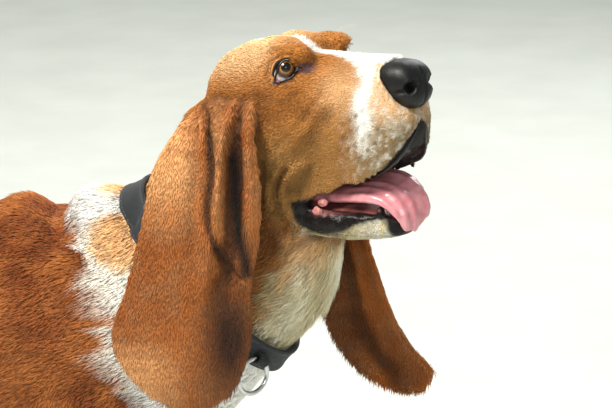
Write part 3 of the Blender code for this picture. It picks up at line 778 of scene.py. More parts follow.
# Eye openings, measured from each eyeball's centre along axes towards the nose and up
eyePlan = {
    "outward": (0.70, 0.70, 0.12),      # where the lids face, in the head's axes
    "upper": ((-0.0096, -0.0088), (-0.0075, -0.0014), (-0.0042, 0.0044), (0.0003, 0.0068),
              (0.0052, 0.0053), (0.0089, 0.0019)),
    "innerCorner": (0.0122, -0.0010),
    "lower": ((0.0080, -0.0042), (0.0035, -0.0080), (-0.0016, -0.0103), (-0.0065, -0.0117)),
    "outerCorner": (-0.0106, -0.0114),
    "lidThickness": 0.0014,
    "pocket": 0.0035,
    "rim": 0.0009,
    "reach": 0.034,         # the lids are shaped this near to the ball's centre
    "behind": -0.0125,      # and no farther back than this
    # creases over the upper lid: distance from its edge, width, height
    "creases": ((0.0050, 0.0014, -0.0009), (0.0085, 0.0026, 0.0008)),
    "ballInset": 0.0016,
    "filmGap": 0.0004,
    "rimGrow": 1.02,
}


def eyeFrame(sideName):
    # an eye's centre, where its lids face, towards the nose and up
    side = bothSides[sideName]
    f, l, u = eyePlan["outward"]
    outward = headAxes @ unit(np.array([f, l * side, u]))
    toNose = unit(headAxes[:, 0] - outward * (headAxes[:, 0] @ outward))
    upward = np.cross(outward, toNose) * -side
    return eyeCentres[sideName], outward, toNose, upward


def eyeOutline(steps=7):
    corners = [eyePlan["outerCorner"], *eyePlan["upper"], eyePlan["innerCorner"], *eyePlan["lower"]]
    return roundLoop([np.array(p) for p in corners], steps)


def signedDistance(place, outline):
    # distance to a closed outline, negative inside
    distance = lineDistance(place, [*outline, outline[0]])[0]
    inside = np.zeros(len(place), dtype=bool)
    for start, end in zip(outline, np.roll(outline, -1, axis=0)):
        crosses = (start[1] > place[:, 1]) != (end[1] > place[:, 1])
        slope = (end[0] - start[0]) / (end[1] - start[1] + 1e-12)
        inside ^= crosses & (place[:, 0] < start[0] + slope * (place[:, 1] - start[1]))
    return np.where(inside, -distance, distance)


def shapeLids(points):
    # opens the skin over each eye and lifts the lids round it; returns each vertex's distance from the edge too
    radius = headPlan["eyeRadius"]
    closest = np.full(len(points), 1.0)
    outline = eyeOutline()
    for sideName in bothSides:
        centre, outward, toNose, upward = eyeFrame(sideName)
        offset = points - centre
        across, high, out = offset @ toNose, offset @ upward, offset @ outward
        reach = np.linalg.norm(offset, axis=1)
        near = (reach < eyePlan["reach"]) & (out > eyePlan["behind"])
        edge = np.full(len(points), 1.0)
        edge[near] = signedDistance(np.stack([across[near], high[near]], axis=1), outline)
        # the lids rest on the ball
        lift = np.maximum(radius + eyePlan["lidThickness"] - reach, 0.0) * (edge > 0) * near
        points = points + unit(offset) * (lift * (1.0 - ease(edge, 0.004, 0.012)))[:, None]
        above = near & (edge > 0) & (high > -0.004)
        crease = sum(height * hill(edge - at, width) for at, width, height in eyePlan["creases"])
        points = points + outward * (crease * above)[:, None]
        # inside the outline the skin drops behind the ball, or into a shallow pocket beside it
        flat = np.sqrt(across ** 2 + high ** 2)
        ball = np.sqrt(np.maximum((radius - eyePlan["ballInset"]) ** 2 - flat ** 2, 0.0))
        pocket = out - eyePlan["pocket"]
        inner = np.where(flat < radius - 0.002, np.minimum(ball, out), pocket)
        drop = np.where(edge < 0, (out - inner) * ease(-edge, 0.0, 0.0012), 0.0)
        points = points - outward * drop[:, None]
        # outside the opening the distance is measured over the ball's curve, not in the flat
        facing = np.clip(out / np.maximum(reach, 1e-9), 0.25, 1.0)
        edge = np.where(edge > 0, edge / facing, edge)
        closest = np.where(np.abs(edge) < np.abs(closest), edge, closest)
    return points, closest


skinPoints, eyeEdge = shapeLids(skinPoints)
setPoints(skin, skinPoints)
skinNormals = normalsOf(skinPoints, skinFaces)
print("stage: folds, coat depth and lids")


# Markings, the same for skin and coat
# the ears' brightest tone is a painted highlight, and earShade is painted shade
hairTones = {
    "tan": "BE7C36", "tanLight": "FFD29C", "tanDark": "804A16", "cheek": "A87A40",
    "white": "FFFEF8", "cream": "E6D8A8", "grey": "857A5E", "red": "9C5424", "redDark": "68320E",
    "redLight": "CA8440", "ear": "A85E22", "earHighlight": "FFC080", "earDark": "321503", "earShade": "0C0602",
    "lidDark": "120D0C", "tearGrey": "6A5058", "haw": "D8A8AC", "lipBlack": "120E0E", "lipRose": "8E5450",
    "mouthPink": "B46A64", "mouthDark": "4A201E", "pad": "2A2523",
}
tones = {name: linear(text) for name, text in hairTones.items()}

# Whiskers: their roots are dark dots in the coat's colour too
whiskerPlan = {
    # forward and up on the head's axes, on the side of the muzzle
    "roots": ((0.047, -0.052), (0.054, -0.049), (0.061, -0.046), (0.068, -0.043),
              (0.045, -0.062), (0.053, -0.060), (0.061, -0.057), (0.069, -0.054), (0.077, -0.051),
              (0.049, -0.073), (0.057, -0.070), (0.065, -0.067), (0.073, -0.063), (0.081, -0.059),
              (0.060, -0.081), (0.069, -0.076), (0.077, -0.071)),
    "browRoots": ((0.000, 0.031, 0.03), (0.004, 0.028, 0.03), (-0.005, 0.034, 0.03)),
    "length": (0.012, 0.024),
    "browLength": 0.020,
    "radius": 0.00016,
    "dot": 0.0013,
}

markPlan = {
    # where the red back ends and the white collar of hair begins: forward place for each height
    "saddle": ((0.150, 0.280), (0.200, 0.204), (0.223, 0.189), (0.266, 0.175), (0.307, 0.163),
               (0.334, 0.153), (0.357, 0.140), (0.372, 0.124), (0.400, 0.110)),
    "patch": {"at": (0.182, -0.008, 0.352), "aside": 0.040, "radius": 0.026},    # tan, behind the collar
    "belly": (0.150, 0.165),
    "legTop": {"fore": 0.155, "hind": 0.175, "divide": -0.1},
    "tailWhite": 0.42,
    # lines on the neck, each through x and z with a slope
    "throat": {"x": 0.30, "z": 0.337, "slope": 0.35},
    "brown": {"x": 0.311, "z": 0.30, "slope": 0.36},
    "nape": {"x": 0.25, "slope": 0.35},
    # where a tone of the head comes in: forward of the eyes, or up from them
    "crownUp": (-0.016, 0.018),
    "crownBack": (-0.004, 0.034),
    "cheekDown": (0.025, 0.075),
    "topUp": (-0.030, -0.022),
    "ticked": (0.034, 0.068),
    "noseEdge": (0.071, 0.077),
    "chinDown": (0.125, 0.140),
    "chinForward": (-0.030, -0.005),
    "band": {"forward": 0.067, "up": -0.05, "lean": 0.10, "half": 0.0080},     # white, behind the nose
    # soft spots on the side of the head: forward, up and how far they reach each way
    "spots": {
        "behindEye": (-0.048, -0.036, 0.030, 0.024),
        "underEye": (-0.016, -0.034, 0.030, 0.014),
        "muzzleRoot": (0.048, -0.026, 0.018, 0.022),
    },
    # half width of the white blaze for each place forward of the eyes
    "blaze": ((-0.085, 0.0), (-0.060, 0.002), (-0.020, 0.0035), (0.010, 0.004), (0.030, 0.007),
              (0.044, 0.010), (0.060, 0.014), (0.110, 0.013)),
    # the deep fold of the right ear, in x and z, painted near black as shade
    "earValley": ((0.2830, 0.445), (0.2850, 0.429), (0.2865, 0.402), (0.2895, 0.375), (0.2940, 0.350)),
    # its raised folds, lit by a painted highlight: x, the height where that highlight begins, and its strength
    "earRidges": ((0.270, 0.36, 0.22), (0.302, 0.37, 0.16)),
    "earRidgeWidth": 0.007,
    # the near ear's tip: dark hairs with painted shade laid over them
    "earTip": (0.279, 0.290, 0.024, 0.050),     # dark at the tip, in x and z, with its widths
}


def spot(first, second, place):
    # a soft round mark in a plane
    firstAt, secondAt, firstWide, secondWide = place
    return hill(first - firstAt, firstWide) * hill(second - secondAt, secondWide)


def bodyColour(points, mid, broad, jag):
    # red-brown saddle, white collar of hair, chest, belly and legs, and a tan patch behind the collar
    heights, fronts = np.array(markPlan["saddle"]).T
    frontEdge = np.interp(points[:, 2], heights, fronts)
    streak = cloud(points * np.array([1.0, 1.0, 0.32]), 0.013, 12)
    red = mix(tones["red"], tones["redDark"], np.clip(0.15 + 0.35 * broad + 0.55 * streak, 0, 0.8))
    red = mix(red, tones["redLight"], np.clip(0.20 - 0.5 * streak - 0.3 * broad, 0, 0.75))
    white = mix(tones["white"], tones["cream"], np.clip(0.05 + 0.15 * broad, 0, 1))
    behind = ease(frontEdge - points[:, 0] + jag, -0.003, 0.003)
    belly = ease(points[:, 2] + 0.8 * jag + 0.02 * broad, *markPlan["belly"])
    body = mix(white, red, behind * belly)
    x, y, z = markPlan["patch"]["at"]
    aside = np.abs(points[:, 1] - y) - markPlan["patch"]["aside"]
    patch = np.linalg.norm(np.stack([points[:, 0] - x, aside * 0.7, (points[:, 2] - z) * 0.9], axis=1), axis=1)
    tanPatch = mix(tones["tan"], tones["tanLight"], np.clip(0.7 + 0.35 * mid, 0, 1))
    body = mix(body, tanPatch, ease(markPlan["patch"]["radius"] - patch + 0.6 * jag, -0.003, 0.003))
    # red comes down over shoulder and thigh
    top = markPlan["legTop"]
    legEdge = np.where(points[:, 0] > top["divide"], top["fore"], top["hind"])
    leg = mix(white, red, ease(points[:, 2] - legEdge + 1.3 * jag, -0.003, 0.004))
    body = mix(body, leg, np.clip(legMask * 1.4, 0, 1))
    tailRed = ease(markPlan["tailWhite"] - points[:, 2] + 1.5 * jag, -0.004, 0.004)
    return mix(body, mix(white, red, tailRed), ease(masks["tail"], 0.3, 0.7))


def neckColour(points, mid, jag):
    # before the collar: tan above, brown behind the jaw, cream throat
    x, y, z = points.T
    line = markPlan["throat"]
    throatward = (z - line["z"]) - line["slope"] * (x - line["x"])
    neckTan = mix(tones["tan"], tones["tanLight"], np.clip(0.55 + 0.4 * mid, 0, 1))
    strands = cloud(points * np.array([1.0, 1.0, 0.25]), 0.008, 13)
    throat = mix(tones["cream"], tones["white"], np.clip(0.25 + 0.6 * strands, 0, 1))
    throat = mix(throat, tones["grey"], np.clip(0.10 - 0.7 * strands, 0, 0.5))
    brownPatch = mix(tones["tanDark"], tones["tan"], np.clip(0.35 + 0.5 * mid, 0, 1))
    line = markPlan["brown"]
    backward = line["x"] + line["slope"] * (z - line["z"]) - x
    line = markPlan["nape"]
    nape = ease(y - line["slope"] * (x - line["x"]), -0.010, 0.010)
    front = mix(throat, neckTan, ease(throatward + jag, -0.012, -0.004))
    return mix(front, brownPatch, ease(backward + jag, -0.003, 0.003) * (1.0 - nape))


def headColour(points, fine, mid, jag):
    # tan, with a white blaze, muzzle band and ticked flews, and a painted highlight on the crown
    place = toHead(points)
    f, side, up = place[:, 0], np.abs(place[:, 1]), place[:, 2]
    onSide, spots = ease(side, 0.02, 0.03), markPlan["spots"]
    head = mix(tones["tan"], tones["cheek"], ease(-up, *markPlan["cheekDown"]))
    # painted highlight: the crown made lighter, as the top of the head is lit from above
    crown = ease(up + 0.006 * mid, *markPlan["crownUp"]) * ease(-f, *markPlan["crownBack"])
    head = mix(head, tones["tanLight"], np.clip(crown, 0, 0.92))
    head = mix(head, tones["tanDark"], 0.8 * (spot(f, up, spots["behindEye"]) * onSide))
    under = spot(f, up, spots["underEye"]) * onSide
    head = mix(head, tones["tanDark"], np.clip(0.10 + 0.22 * mid + 0.10 * fine + 0.55 * under, 0, 0.75))
    head = mix(head, tones["tanLight"], 0.65 * spot(f, up, spots["muzzleRoot"]))
    blazeHalf = np.interp(f, *np.array(markPlan["blaze"]).T)
    blaze = ease(blazeHalf - side + 0.30 * jag, -0.0012, 0.0012) * ease(up, *markPlan["topUp"])
    line = markPlan["band"]
    band = f - line["forward"] - line["lean"] * (up - line["up"]) + 0.6 * jag
    band = hill(band, line["half"]) * ease(up, -0.088, -0.050)
    ticked = ease(f + 0.5 * jag, *markPlan["ticked"]) * (1.0 - blaze)
    speck = cloud(points, 0.0026, 14)
    ticks = mix(tones["cheek"], tones["grey"], np.clip(0.75 + 0.35 * speck, 0, 1) * ease(f, 0.040, 0.066))
    ticks = mix(ticks, tones["white"], np.clip(0.08 + 0.65 * speck + 0.15 * mid, 0, 0.6))
    head = mix(head, ticks, ticked * ease(-up + 0.5 * jag, 0.030, 0.060))
    pale = mix(tones["tanLight"], tones["white"], np.clip(0.25 + 0.7 * speck, 0, 1))
    noseEdge = 0.65 * ease(f, *markPlan["noseEdge"]) * ease(up, -0.066, -0.040)
    head = mix(head, pale, noseEdge * (1.0 - blaze))
    head = mix(head, tones["white"], np.clip(np.maximum(blaze, band * 1.1), 0, 1))
    dots = np.full(len(points), 1.0)
    for spotForward, spotUp in whiskerPlan["roots"]:
        dots = np.minimum(dots, np.hypot(f - spotForward, up - spotUp))
    head = mix(head, tones["earDark"], 0.9 * hill(dots, whiskerPlan["dot"]) * ease(side, 0.015, 0.020))
    chin = ease(-up, *markPlan["chinDown"]) * ease(f, *markPlan["chinForward"])
    head = mix(head, mix(tones["grey"], tones["white"], np.clip(0.4 + 0.6 * fine, 0, 1)), chin * 0.8)
    # ticked grey-cream fur on the lower jaw, made greyer in part as painted shade under the head
    jaw = mix(tones["cream"], tones["grey"], np.clip(0.60 + 0.4 * mid + 0.5 * speck, 0, 1))
    jaw = mix(jaw, tones["white"], ease(f, 0.02, 0.06) * np.clip(0.35 + 0.5 * speck, 0, 0.8))
    return mix(head, jaw, ease(masks["lower_jaw"], 0.3, 0.7))


def earColour(points, mid, broad):
    # painted highlight where the ear hangs from the head, at the back of its tip and on its raised folds;
    # painted shade in the long folds, on the far ear's inner leaf and, over dark hairs, at the tip
    x, z = points[:, 0], points[:, 2]
    ear = mix(tones["ear"], tones["redDark"], np.clip(0.18 + 0.30 * broad + 0.25 * mid, 0, 0.6))
    # painted highlight: the top where the ear hangs, the lower back of its tip and the raised folds
    paintedLight = 0.85 * ease(z, 0.365, 0.440) * (1.0 - ease(x, 0.235, 0.262))
    paintedLight = np.maximum(paintedLight, 0.62 * ease(0.300 - z, 0.0, 0.045) * ease(0.250 - x, 0.0, 0.045))
    for ridge, low, strength in markPlan["earRidges"]:
        paintedLight = np.maximum(paintedLight, strength * hill(x - ridge, markPlan["earRidgeWidth"]) * ease(z, low, 0.40))
    ear = mix(ear, tones["earHighlight"], np.clip(0.06 + 0.85 * paintedLight + 0.12 * mid, 0, 0.9))
    farSide = ease(masks["ear_left"], 0.3, 0.6)
    # painted shade over the near ear's tip, partly its dark hairs, and over the far ear's inner leaf
    shade = 1.1 * spot(x, z, markPlan["earTip"]) * (1.0 - farSide)
    shade = np.maximum(shade, 0.62 * farSide * ease(0.377 + 0.35 * (0.30 - z) - x, -0.004, 0.016))
    ear = mix(ear, tones["earDark"], np.clip(0.9 * shade + 0.1 * mid, 0, 0.95))
    # painted shade along the ear's groove, and near black painted shade in its deep fold
    folds = (("earDark", 0.75, 0.0030, foldPlan["ear"][0][0]),
             ("earShade", 0.97, 0.0060, markPlan["earValley"]))
    for tone, strength, width, line in folds:
        fold = lineDistance(points[:, [0, 2]], curved(line))[0]
        ear = mix(ear, tones[tone], strength * hill(fold, width) * (1.0 - farSide))
    return ear


def coatColour(points):
    fine, mid, broad = cloud(points, 0.004, 1), cloud(points, 0.012, 2), cloud(points, 0.035, 3)
    jag = 0.0045 * fine + 0.006 * mid
    beforeCollar = ease(collarAhead(points), -0.004, 0.004) * ease(masks["neck"] + headMask, 0.2, 0.5)
    whole = mix(bodyColour(points, mid, broad, jag), neckColour(points, mid, jag), beforeCollar)
    whole = mix(whole, headColour(points, fine, mid, jag), ease(headMask, 0.3, 0.7))
    whole = mix(whole, earColour(points, mid, broad), ease(earMask, 0.3, 0.7))
    return np.clip(whole * (1.0 + 0.06 * fine)[:, None], 0.0, 1.0)


# The collar's own axes, from the spread of its solid
def collarFrame():
    points = pointsOf(nodes["collar"])
    centre = (points.min(axis=0) + points.max(axis=0)) / 2
    axis = thinAxis(points)
    axis = axis if axis @ (headOrigin - centre) > 0 else -axis
    return points.mean(axis=0), axis


collarCentre, collarAxis = collarFrame()


def collarAhead(points):
    # how far each point lies before the collar's middle plane
    return (points - collarCentre) @ collarAxis


# Painted shade darkens hollows and a painted highlight lightens ridges: rounds of smoothing, full depth and
# strength
shadePlan = {
    "fine": (10, 0.0012, 0.45),
    "broad": (60, 0.0035, 0.12),
    "broadOnEars": 0.75,
    "dark": 0.70,
    "light": 0.10,
}


def hollowShade():
    rounds, depth, strength = shadePlan["fine"]
    hollow = strength * hollowOf(skinPoints, skinNormals, rounds, depth)
    rounds, depth, strength = shadePlan["broad"]
    hollow += (strength + shadePlan["broadOnEars"] * earMask) * hollowOf(skinPoints, skinNormals, rounds, depth)
    hollow *= ease(headMask + earMask + masks["neck"], 0.3, 0.7)
    return 1.0 - shadePlan["dark"] * np.clip(hollow, 0, 1) + shadePlan["light"] * np.clip(-hollow, 0, 1)


# the coat's colours with painted shade in the hollows and a painted highlight on the ridges
skinColour = coatColour(skinPoints) * hollowShade()[:, None]


def paintBareSkin(colours):
    # lids, tear corner, haw, lips, mouth and pads; returns colours and how wet each vertex is
    place = toHead(skinPoints)
    lower = lowerLip(place)
    lips = np.maximum(lower, betweenLips(place))
    leftward = skinNormals @ headAxes[:, 1] * np.sign(place[:, 1])
    inward = ease(-leftward, -0.05, 0.25) * ease(place[:, 0], 0.045, 0.055) * ease(-place[:, 2], 0.060, 0.066)
    lips = np.maximum(lips, inward * headMask * (place[:, 2] > -0.118))
    colours = mix(colours, tones["lipBlack"], lips)
    flesh = ease(place[:, 2], -0.1320, -0.1265) * ease(place[:, 0], -0.008, 0.006) * lower
    colours = mix(colours, tones["lipRose"], 0.85 * flesh)
    wet = np.maximum(lower, 0.25 * lips)
    rim = (eyeEdge > 0) * (1.0 - ease(eyeEdge, 0.0017, 0.0035))
    colours = mix(colours, tones["lidDark"], rim)
    for sideName in bothSides:
        centre, outward, toNose, upward = eyeFrame(sideName)
        offset = skinPoints - centre
        corner = np.stack([(offset @ toNose - 0.019) / 0.010, (offset @ upward + 0.001) / 0.0055], axis=1)
        tear = (1.0 - ease(np.linalg.norm(corner, axis=1), 0.6, 1.1)) * (offset @ outward > -0.006)
        colours = mix(colours, tones["tearGrey"], tear * 0.85 * (eyeEdge > 0))
        under = hill(eyeEdge - 0.004, 0.003) * (offset @ upward < -0.004) * (eyeEdge > 0)
        colours = mix(colours, tones["tearGrey"], under * 0.6)
    for sideName in bothSides:
        centre, outward, toNose, upward = eyeFrame(sideName)
        offset = skinPoints - centre
        near = np.linalg.norm(offset, axis=1) < 0.03
        pink = ease(-(offset @ upward), 0.005, 0.008) * ease(-(offset @ toNose), -0.004, 0.000)
        colours = mix(colours, mix(tones["lidDark"], tones["haw"], pink), (eyeEdge < 0.0004) * near)
    wet = np.maximum(wet, (eyeEdge < 0.0006) * 1.0)
    inner = mix(tones["mouthDark"], tones["mouthPink"], np.clip(0.5 + 0.8 * cloud(skinPoints, 0.009, 5), 0, 1))
    colours = mix(colours, tones["lipBlack"], ease(mouth, 0.15, 0.35))
    colours = mix(colours, inner, ease(mouth, 0.75, 0.95) * ease(place[:, 0], -0.03, 0.0))
    wet = np.maximum(wet, ease(mouth, 0.2, 0.4))
    pads = (1.0 - ease(skinPoints[:, 2], 0.003, 0.008)) * ease(-skinNormals[:, 2], 0.2, 0.6)
    colours = mix(colours, tones["pad"], pads * legMask)
    return colours, wet


skinColour, skinWet = paintBareSkin(skinColour)
setColours(skin, skinColour)
setField(skin, "wet", skinWet)


def hideMaterial():
    # short-haired hide: the coat's own colours, matt where haired, glossy where it is wet lip or lid
    material, tree, shader = newMaterial("short haired hide", {
        "Sheen Weight": 0.04, "Sheen Roughness": 0.5, "Specular IOR Level": 0.2})
    hairs = objectNoise(tree, 900.0, 3.0, (1.0, 1.0, 0.35), 0.6)
    tone = multiply(tree, attribute(tree, "coat", "Color"), remap(tree, hairs, 0.72, 1.12, 0.3, 0.7))
    tree.links.new(tone, shader.inputs["Base Color"])
    tree.links.new(remap(tree, attribute(tree, "wet"), 0.72, 0.16), shader.inputs["Roughness"])
    addBump(tree, shader, hairs, 0.5, 0.0008)
    return material


skin.data.materials.clear()
dress(skin, hideMaterial())
finishPiece(skin, "tan_coat", *fleshNames)
print("stage: skin painted")


# Which way the hair lies at each vertex of the skin
def hairFlow(points, normals):
    _, l, up = toHead(points).T
    forward, leftward, upward = headAxes.T
    sideSign = np.sign(points[:, 1] + 1e-9)
    onTrunk = np.tile([-1.0, 0.0, -0.42], (len(points), 1))
    onTrunk[:, 1] = 0.15 * sideSign
    flow = masks["trunk"][:, None] * unit(onTrunk)
    flow += masks["neck"][:, None] * unit(np.array([-0.70, 0.10, -0.70]))
    flow += legMask[:, None] * np.array([-0.12, 0.0, -1.0])
    flow += masks["tail"][:, None] * unit(np.array([-0.45, 0.03, 0.9]))
    flow += earMask[:, None] * unit(np.array([-0.05, -0.04, -1.0]))
    # back over the head, turning down on the cheeks
    down = ease(-up, 0.0, 0.05)[:, None]
    outward = np.sign(l)[:, None] * leftward
    onHead = -forward + outward * 0.35 - upward * 0.75 * down + upward * 0.15 * (1.0 - down)
    flow += headMask[:, None] * unit(onHead)
    flow = flow - normals * (flow * normals).sum(axis=1, keepdims=True)
    return unit(flow)


skinFlow = hairFlow(skinPoints, skinNormals)

# Tufts of hair, each a solid blade of five vertices
tuftPlan = {
    # length, width, height of the bend, tufts per square centimetre, scatter of direction
    "head": (0.0062, 0.0008, 0.0008, 95.0, 0.18),
    "lower_jaw": (0.0070, 0.0008, 0.0012, 95.0, 0.36),
    "ear": (0.0085, 0.0009, 0.0005, 66.0, 0.10),
    "neck": (0.0150, 0.0010, 0.0019, 60.0, 0.17),
    "trunk": (0.0130, 0.0011, 0.0013, 32.0, 0.14),
    "tail": (0.0150, 0.0012, 0.0022, 34.0, 0.18),
    "leg": (0.0085, 0.0011, 0.0014, 32.0, 0.20),
}


def fieldFrom(column):
    total = masks["head"] * tuftPlan["head"][column] + masks["lower_jaw"] * tuftPlan["lower_jaw"][column]
    total = total + earMask * tuftPlan["ear"][column] + legMask * tuftPlan["leg"][column]
    for name in ("neck", "trunk", "tail"):
        total = total + masks[name] * tuftPlan[name][column]
    return total


def hairFields():
    # length, width, height, density and scatter at each vertex of the skin
    place = toHead(skinPoints)
    length, width, height, dense, scatter = (fieldFrom(column) for column in range(5))
    muzzle = ease(place[:, 0], 0.0, 0.09) * headMask
    length = length * (1.0 - 0.5 * muzzle)
    height = height * (1.0 - 0.6 * muzzle)
    low = (1.0 - ease(skinPoints[:, 2], 0.02, 0.07)) * legMask
    length = length * (1.0 - 0.45 * low)
    width = width * (1.0 - 0.3 * low)
    height = height * (1.0 - 0.5 * low)
    dense = dense * (1.0 + 0.8 * low)
    dense = dense * (1.0 + 1.2 * ease(skinPoints[:, 0], -0.05, 0.12) * ease(masks["trunk"], 0.3, 0.7))
    # long wavy hair on the throat
    under = ease(0.335 - skinPoints[:, 2] + 0.35 * (skinPoints[:, 0] - 0.30), -0.004, 0.02)
    throat = under * ease(masks["neck"], 0.2, 0.6) * ease(collarAhead(skinPoints), 0.006, 0.020)
    length = length * (1.0 + 0.9 * throat)
    scatter = scatter + 0.10 * throat
    # none in the mouth, on lids, lips, pads or nose, or under the collar
    strap = 1.0 - ease(np.abs(collarAhead(skinPoints)), 0.012, 0.014)
    bare = np.maximum.reduce([
        ease(mouth, 0.02, 0.10),
        1.0 - ease(eyeEdge, 0.0018, 0.0045),
        ease(np.maximum(lowerLip(place), betweenLips(place)), 0.2, 0.5),
        1.0 - ease(skinPoints[:, 2], 0.002, 0.006),
        strap * ease(masks["neck"] + masks["trunk"], 0.3, 0.6),
        1.0 - ease(gap, 0.0016, 0.0030)])
    return length, width, height, dense * (1.0 - bare), scatter


hairLength, hairWidth, hairHeight, hairDense, hairScatter = hairFields()
# Shorter hair beside bare skin
nearBare = spread((hairDense < 1.0).astype(float), skinLinks, 4)
hairLength = hairLength * (1.0 - 0.6 * ease(nearBare, 0.0, 0.7))


def coatMaterial(name, sheen, rough):
    # hair: each tuft has its own tone in the colour attribute, with a soft shine along it
    material, tree, shader = newMaterial(name, {
        "Roughness": rough, "Sheen Weight": sheen, "Sheen Roughness": 0.35, "Specular IOR Level": 0.25})
    strands = objectNoise(tree, 1400.0, 2.0)
    tone = multiply(tree, attribute(tree, "coat", "Color"), remap(tree, strands, 0.86, 1.12, 0.3, 0.7))
    tree.links.new(tone, shader.inputs["Base Color"])
    addBump(tree, shader, strands, 0.25, 0.0004)
    return material


def unwrapRoots(points, normals):
    # charts of the skin's own shape: one for each of six facings, side by side in the square
    strongest = np.argmax(np.abs(normals), axis=1)
    facing = strongest * 2 + (np.take_along_axis(normals, strongest[:, None], axis=1)[:, 0] > 0)
    place = np.zeros((len(points), 2))
    size = (points.max(axis=0) - points.min(axis=0)).max() + 1e-9
    local = (points - points.min(axis=0)) / size
    for chart in range(6):
        chosen = facing == chart
        axes = [axis for axis in range(3) if axis != chart // 2]
        corner = np.array([chart % 3, chart // 3]) / (3, 2)
        place[chosen] = corner + 0.004 + local[chosen][:, axes] * (0.325, 0.325 * 1.5)
    return np.clip(place, 0.002, 0.998)


# A blade's faces, its five places on the map and how light each vertex is
bladeFaces = np.array([(0, 1, 3), (0, 3, 2), (0, 2, 1), (4, 3, 1), (4, 2, 3), (4, 1, 2)])
bladePatch = np.array([(-0.5, 0.0), (0.0, -0.5), (0.0, 0.5), (0.0, 0.05), (0.5, 0.0)]) * 0.003
bladeShades = np.array([0.86, 1.0, 1.0, 1.03, 1.08])


def growCoat(name, chosen, material, slot, most):
    # tufts over the chosen faces, more of them where the hair is dense
    corners = skinFaces[np.nonzero(chosen)[0]]
    a, b, c = (skinPoints[corners[:, k]] for k in range(3))
    area = np.linalg.norm(np.cross(b - a, c - a), axis=1) / 2
    weight = area * hairDense[corners].mean(axis=1) * 1e4
    count = int(min(weight.sum(), most))
    ladder = np.cumsum(weight)
    picked = np.searchsorted(ladder, (np.arange(count) + chance.random(count)) / count * ladder[-1])
    picked = np.minimum(picked, len(corners) - 1)
    u, v = chance.random(count), chance.random(count)
    flip = u + v > 1
    u, v = np.where(flip, 1 - u, u), np.where(flip, 1 - v, v)
    share = np.stack([1 - u - v, u, v], axis=1)
    three = corners[picked]

    def blendOf(field):
        return (field[three] * (share[..., None] if field.ndim == 2 else share)).sum(axis=1)

    root, normal, flow = blendOf(skinPoints), unit(blendOf(skinNormals)), blendOf(skinFlow)
    flow = unit(flow - normal * (flow * normal).sum(axis=1, keepdims=True))
    across = np.cross(normal, flow)
    angle = chance.normal(0.0, 1.0, count) * blendOf(hairScatter) + 0.22 * cloud(root, 0.016, 8)
    flow, across = (flow * np.cos(angle)[:, None] + across * np.sin(angle)[:, None],
                    across * np.cos(angle)[:, None] - flow * np.sin(angle)[:, None])
    length = blendOf(hairLength) * chance.uniform(0.70, 1.25, count)
    width = blendOf(hairWidth) * chance.uniform(0.75, 1.25, count) * 0.5
    height = blendOf(hairHeight) * chance.uniform(0.55, 1.25, count)
    bend = root + flow * (0.42 * length)[:, None] + normal * height[:, None]
    tip = root + flow * length[:, None] + normal * (height * chance.uniform(0.55, 1.15, count))[:, None]
    blades = np.stack([root - normal * 0.0006, bend - across * width[:, None], bend + across * width[:, None],
                       bend + normal * (width * 0.55)[:, None], tip], axis=1)
    faces = (np.arange(count)[:, None, None] * 5 + bladeFaces).reshape(-1, 3)
    obj = meshObject(name, blades.reshape(-1, 3), faces, material)
    tone = blendOf(skinColour)
    tone = tone * (1.0 + 0.07 * chance.normal(0.0, 1.0, count) + 0.07 * cloud(root, 0.005, 9))[:, None]
    shades = np.clip(tone[:, None, :] * bladeShades[None, :, None], 0.0, 1.0)
    setColours(obj, shades.reshape(-1, 3))
    patch = unwrapRoots(root, normal)[:, None, :] + bladePatch
    setUv(obj, "OFBake", patch.reshape(-1, 2)[faces.ravel()])
    finishPiece(obj, slot)


def makeCoat():
    shares = np.stack([headMask, earMask, masks["neck"], masks["trunk"], legMask, masks["tail"]])
    owner = np.argmax(shares, axis=0)[skinFaces[:, 0]]
    head, ear, neck, trunk, leg, tail = (owner == part for part in range(6))
    centre = skinPoints[skinFaces].mean(axis=1)
    headRight, bodyRight = toHead(centre)[:, 1] < 0, centre[:, 1] < 0
    smooth = coatMaterial("short smooth hair", 0.04, 0.60)
    silky = coatMaterial("fine ear hair", 0.08, 0.50)
    soft = coatMaterial("soft body hair", 0.05, 0.60)
    growCoat("coat_head_right", head & headRight, smooth, "tan_coat", 32000)
    growCoat("coat_head_left", head & ~headRight, smooth, "tan_coat", 24000)
    growCoat("coat_ear_right", ear & headRight, silky, "ear_coat", 32000)
    growCoat("coat_ear_left", ear & ~headRight, silky, "ear_coat", 28000)
    growCoat("coat_neck", neck, soft, "cream_coat", 30000)
    growCoat("coat_trunk_right", trunk & bodyRight, soft, "red_coat", 32500)
    growCoat("coat_trunk_left", trunk & ~bodyRight, soft, "red_coat", 32500)
    growCoat("coat_legs", leg, smooth, "white_coat", 28000)
    growCoat("coat_tail", tail, soft, "red_coat", 9000)


makeCoat()
print("stage: coat grown")


# Eyes: one glossy ball each, with the cornea's bulge and the iris painted by the distance from its middle
irisPlan = {
    # where each eye looks, on the head's axes
    "gaze": {"right": (0.68, -0.705, 0.19), "left": (0.88, 0.44, 0.16)},
    "cornea": 0.0012,
    "corneaAngle": 38.0,    # degrees from its middle
    "segments": 72,
    "rings": 60,
}


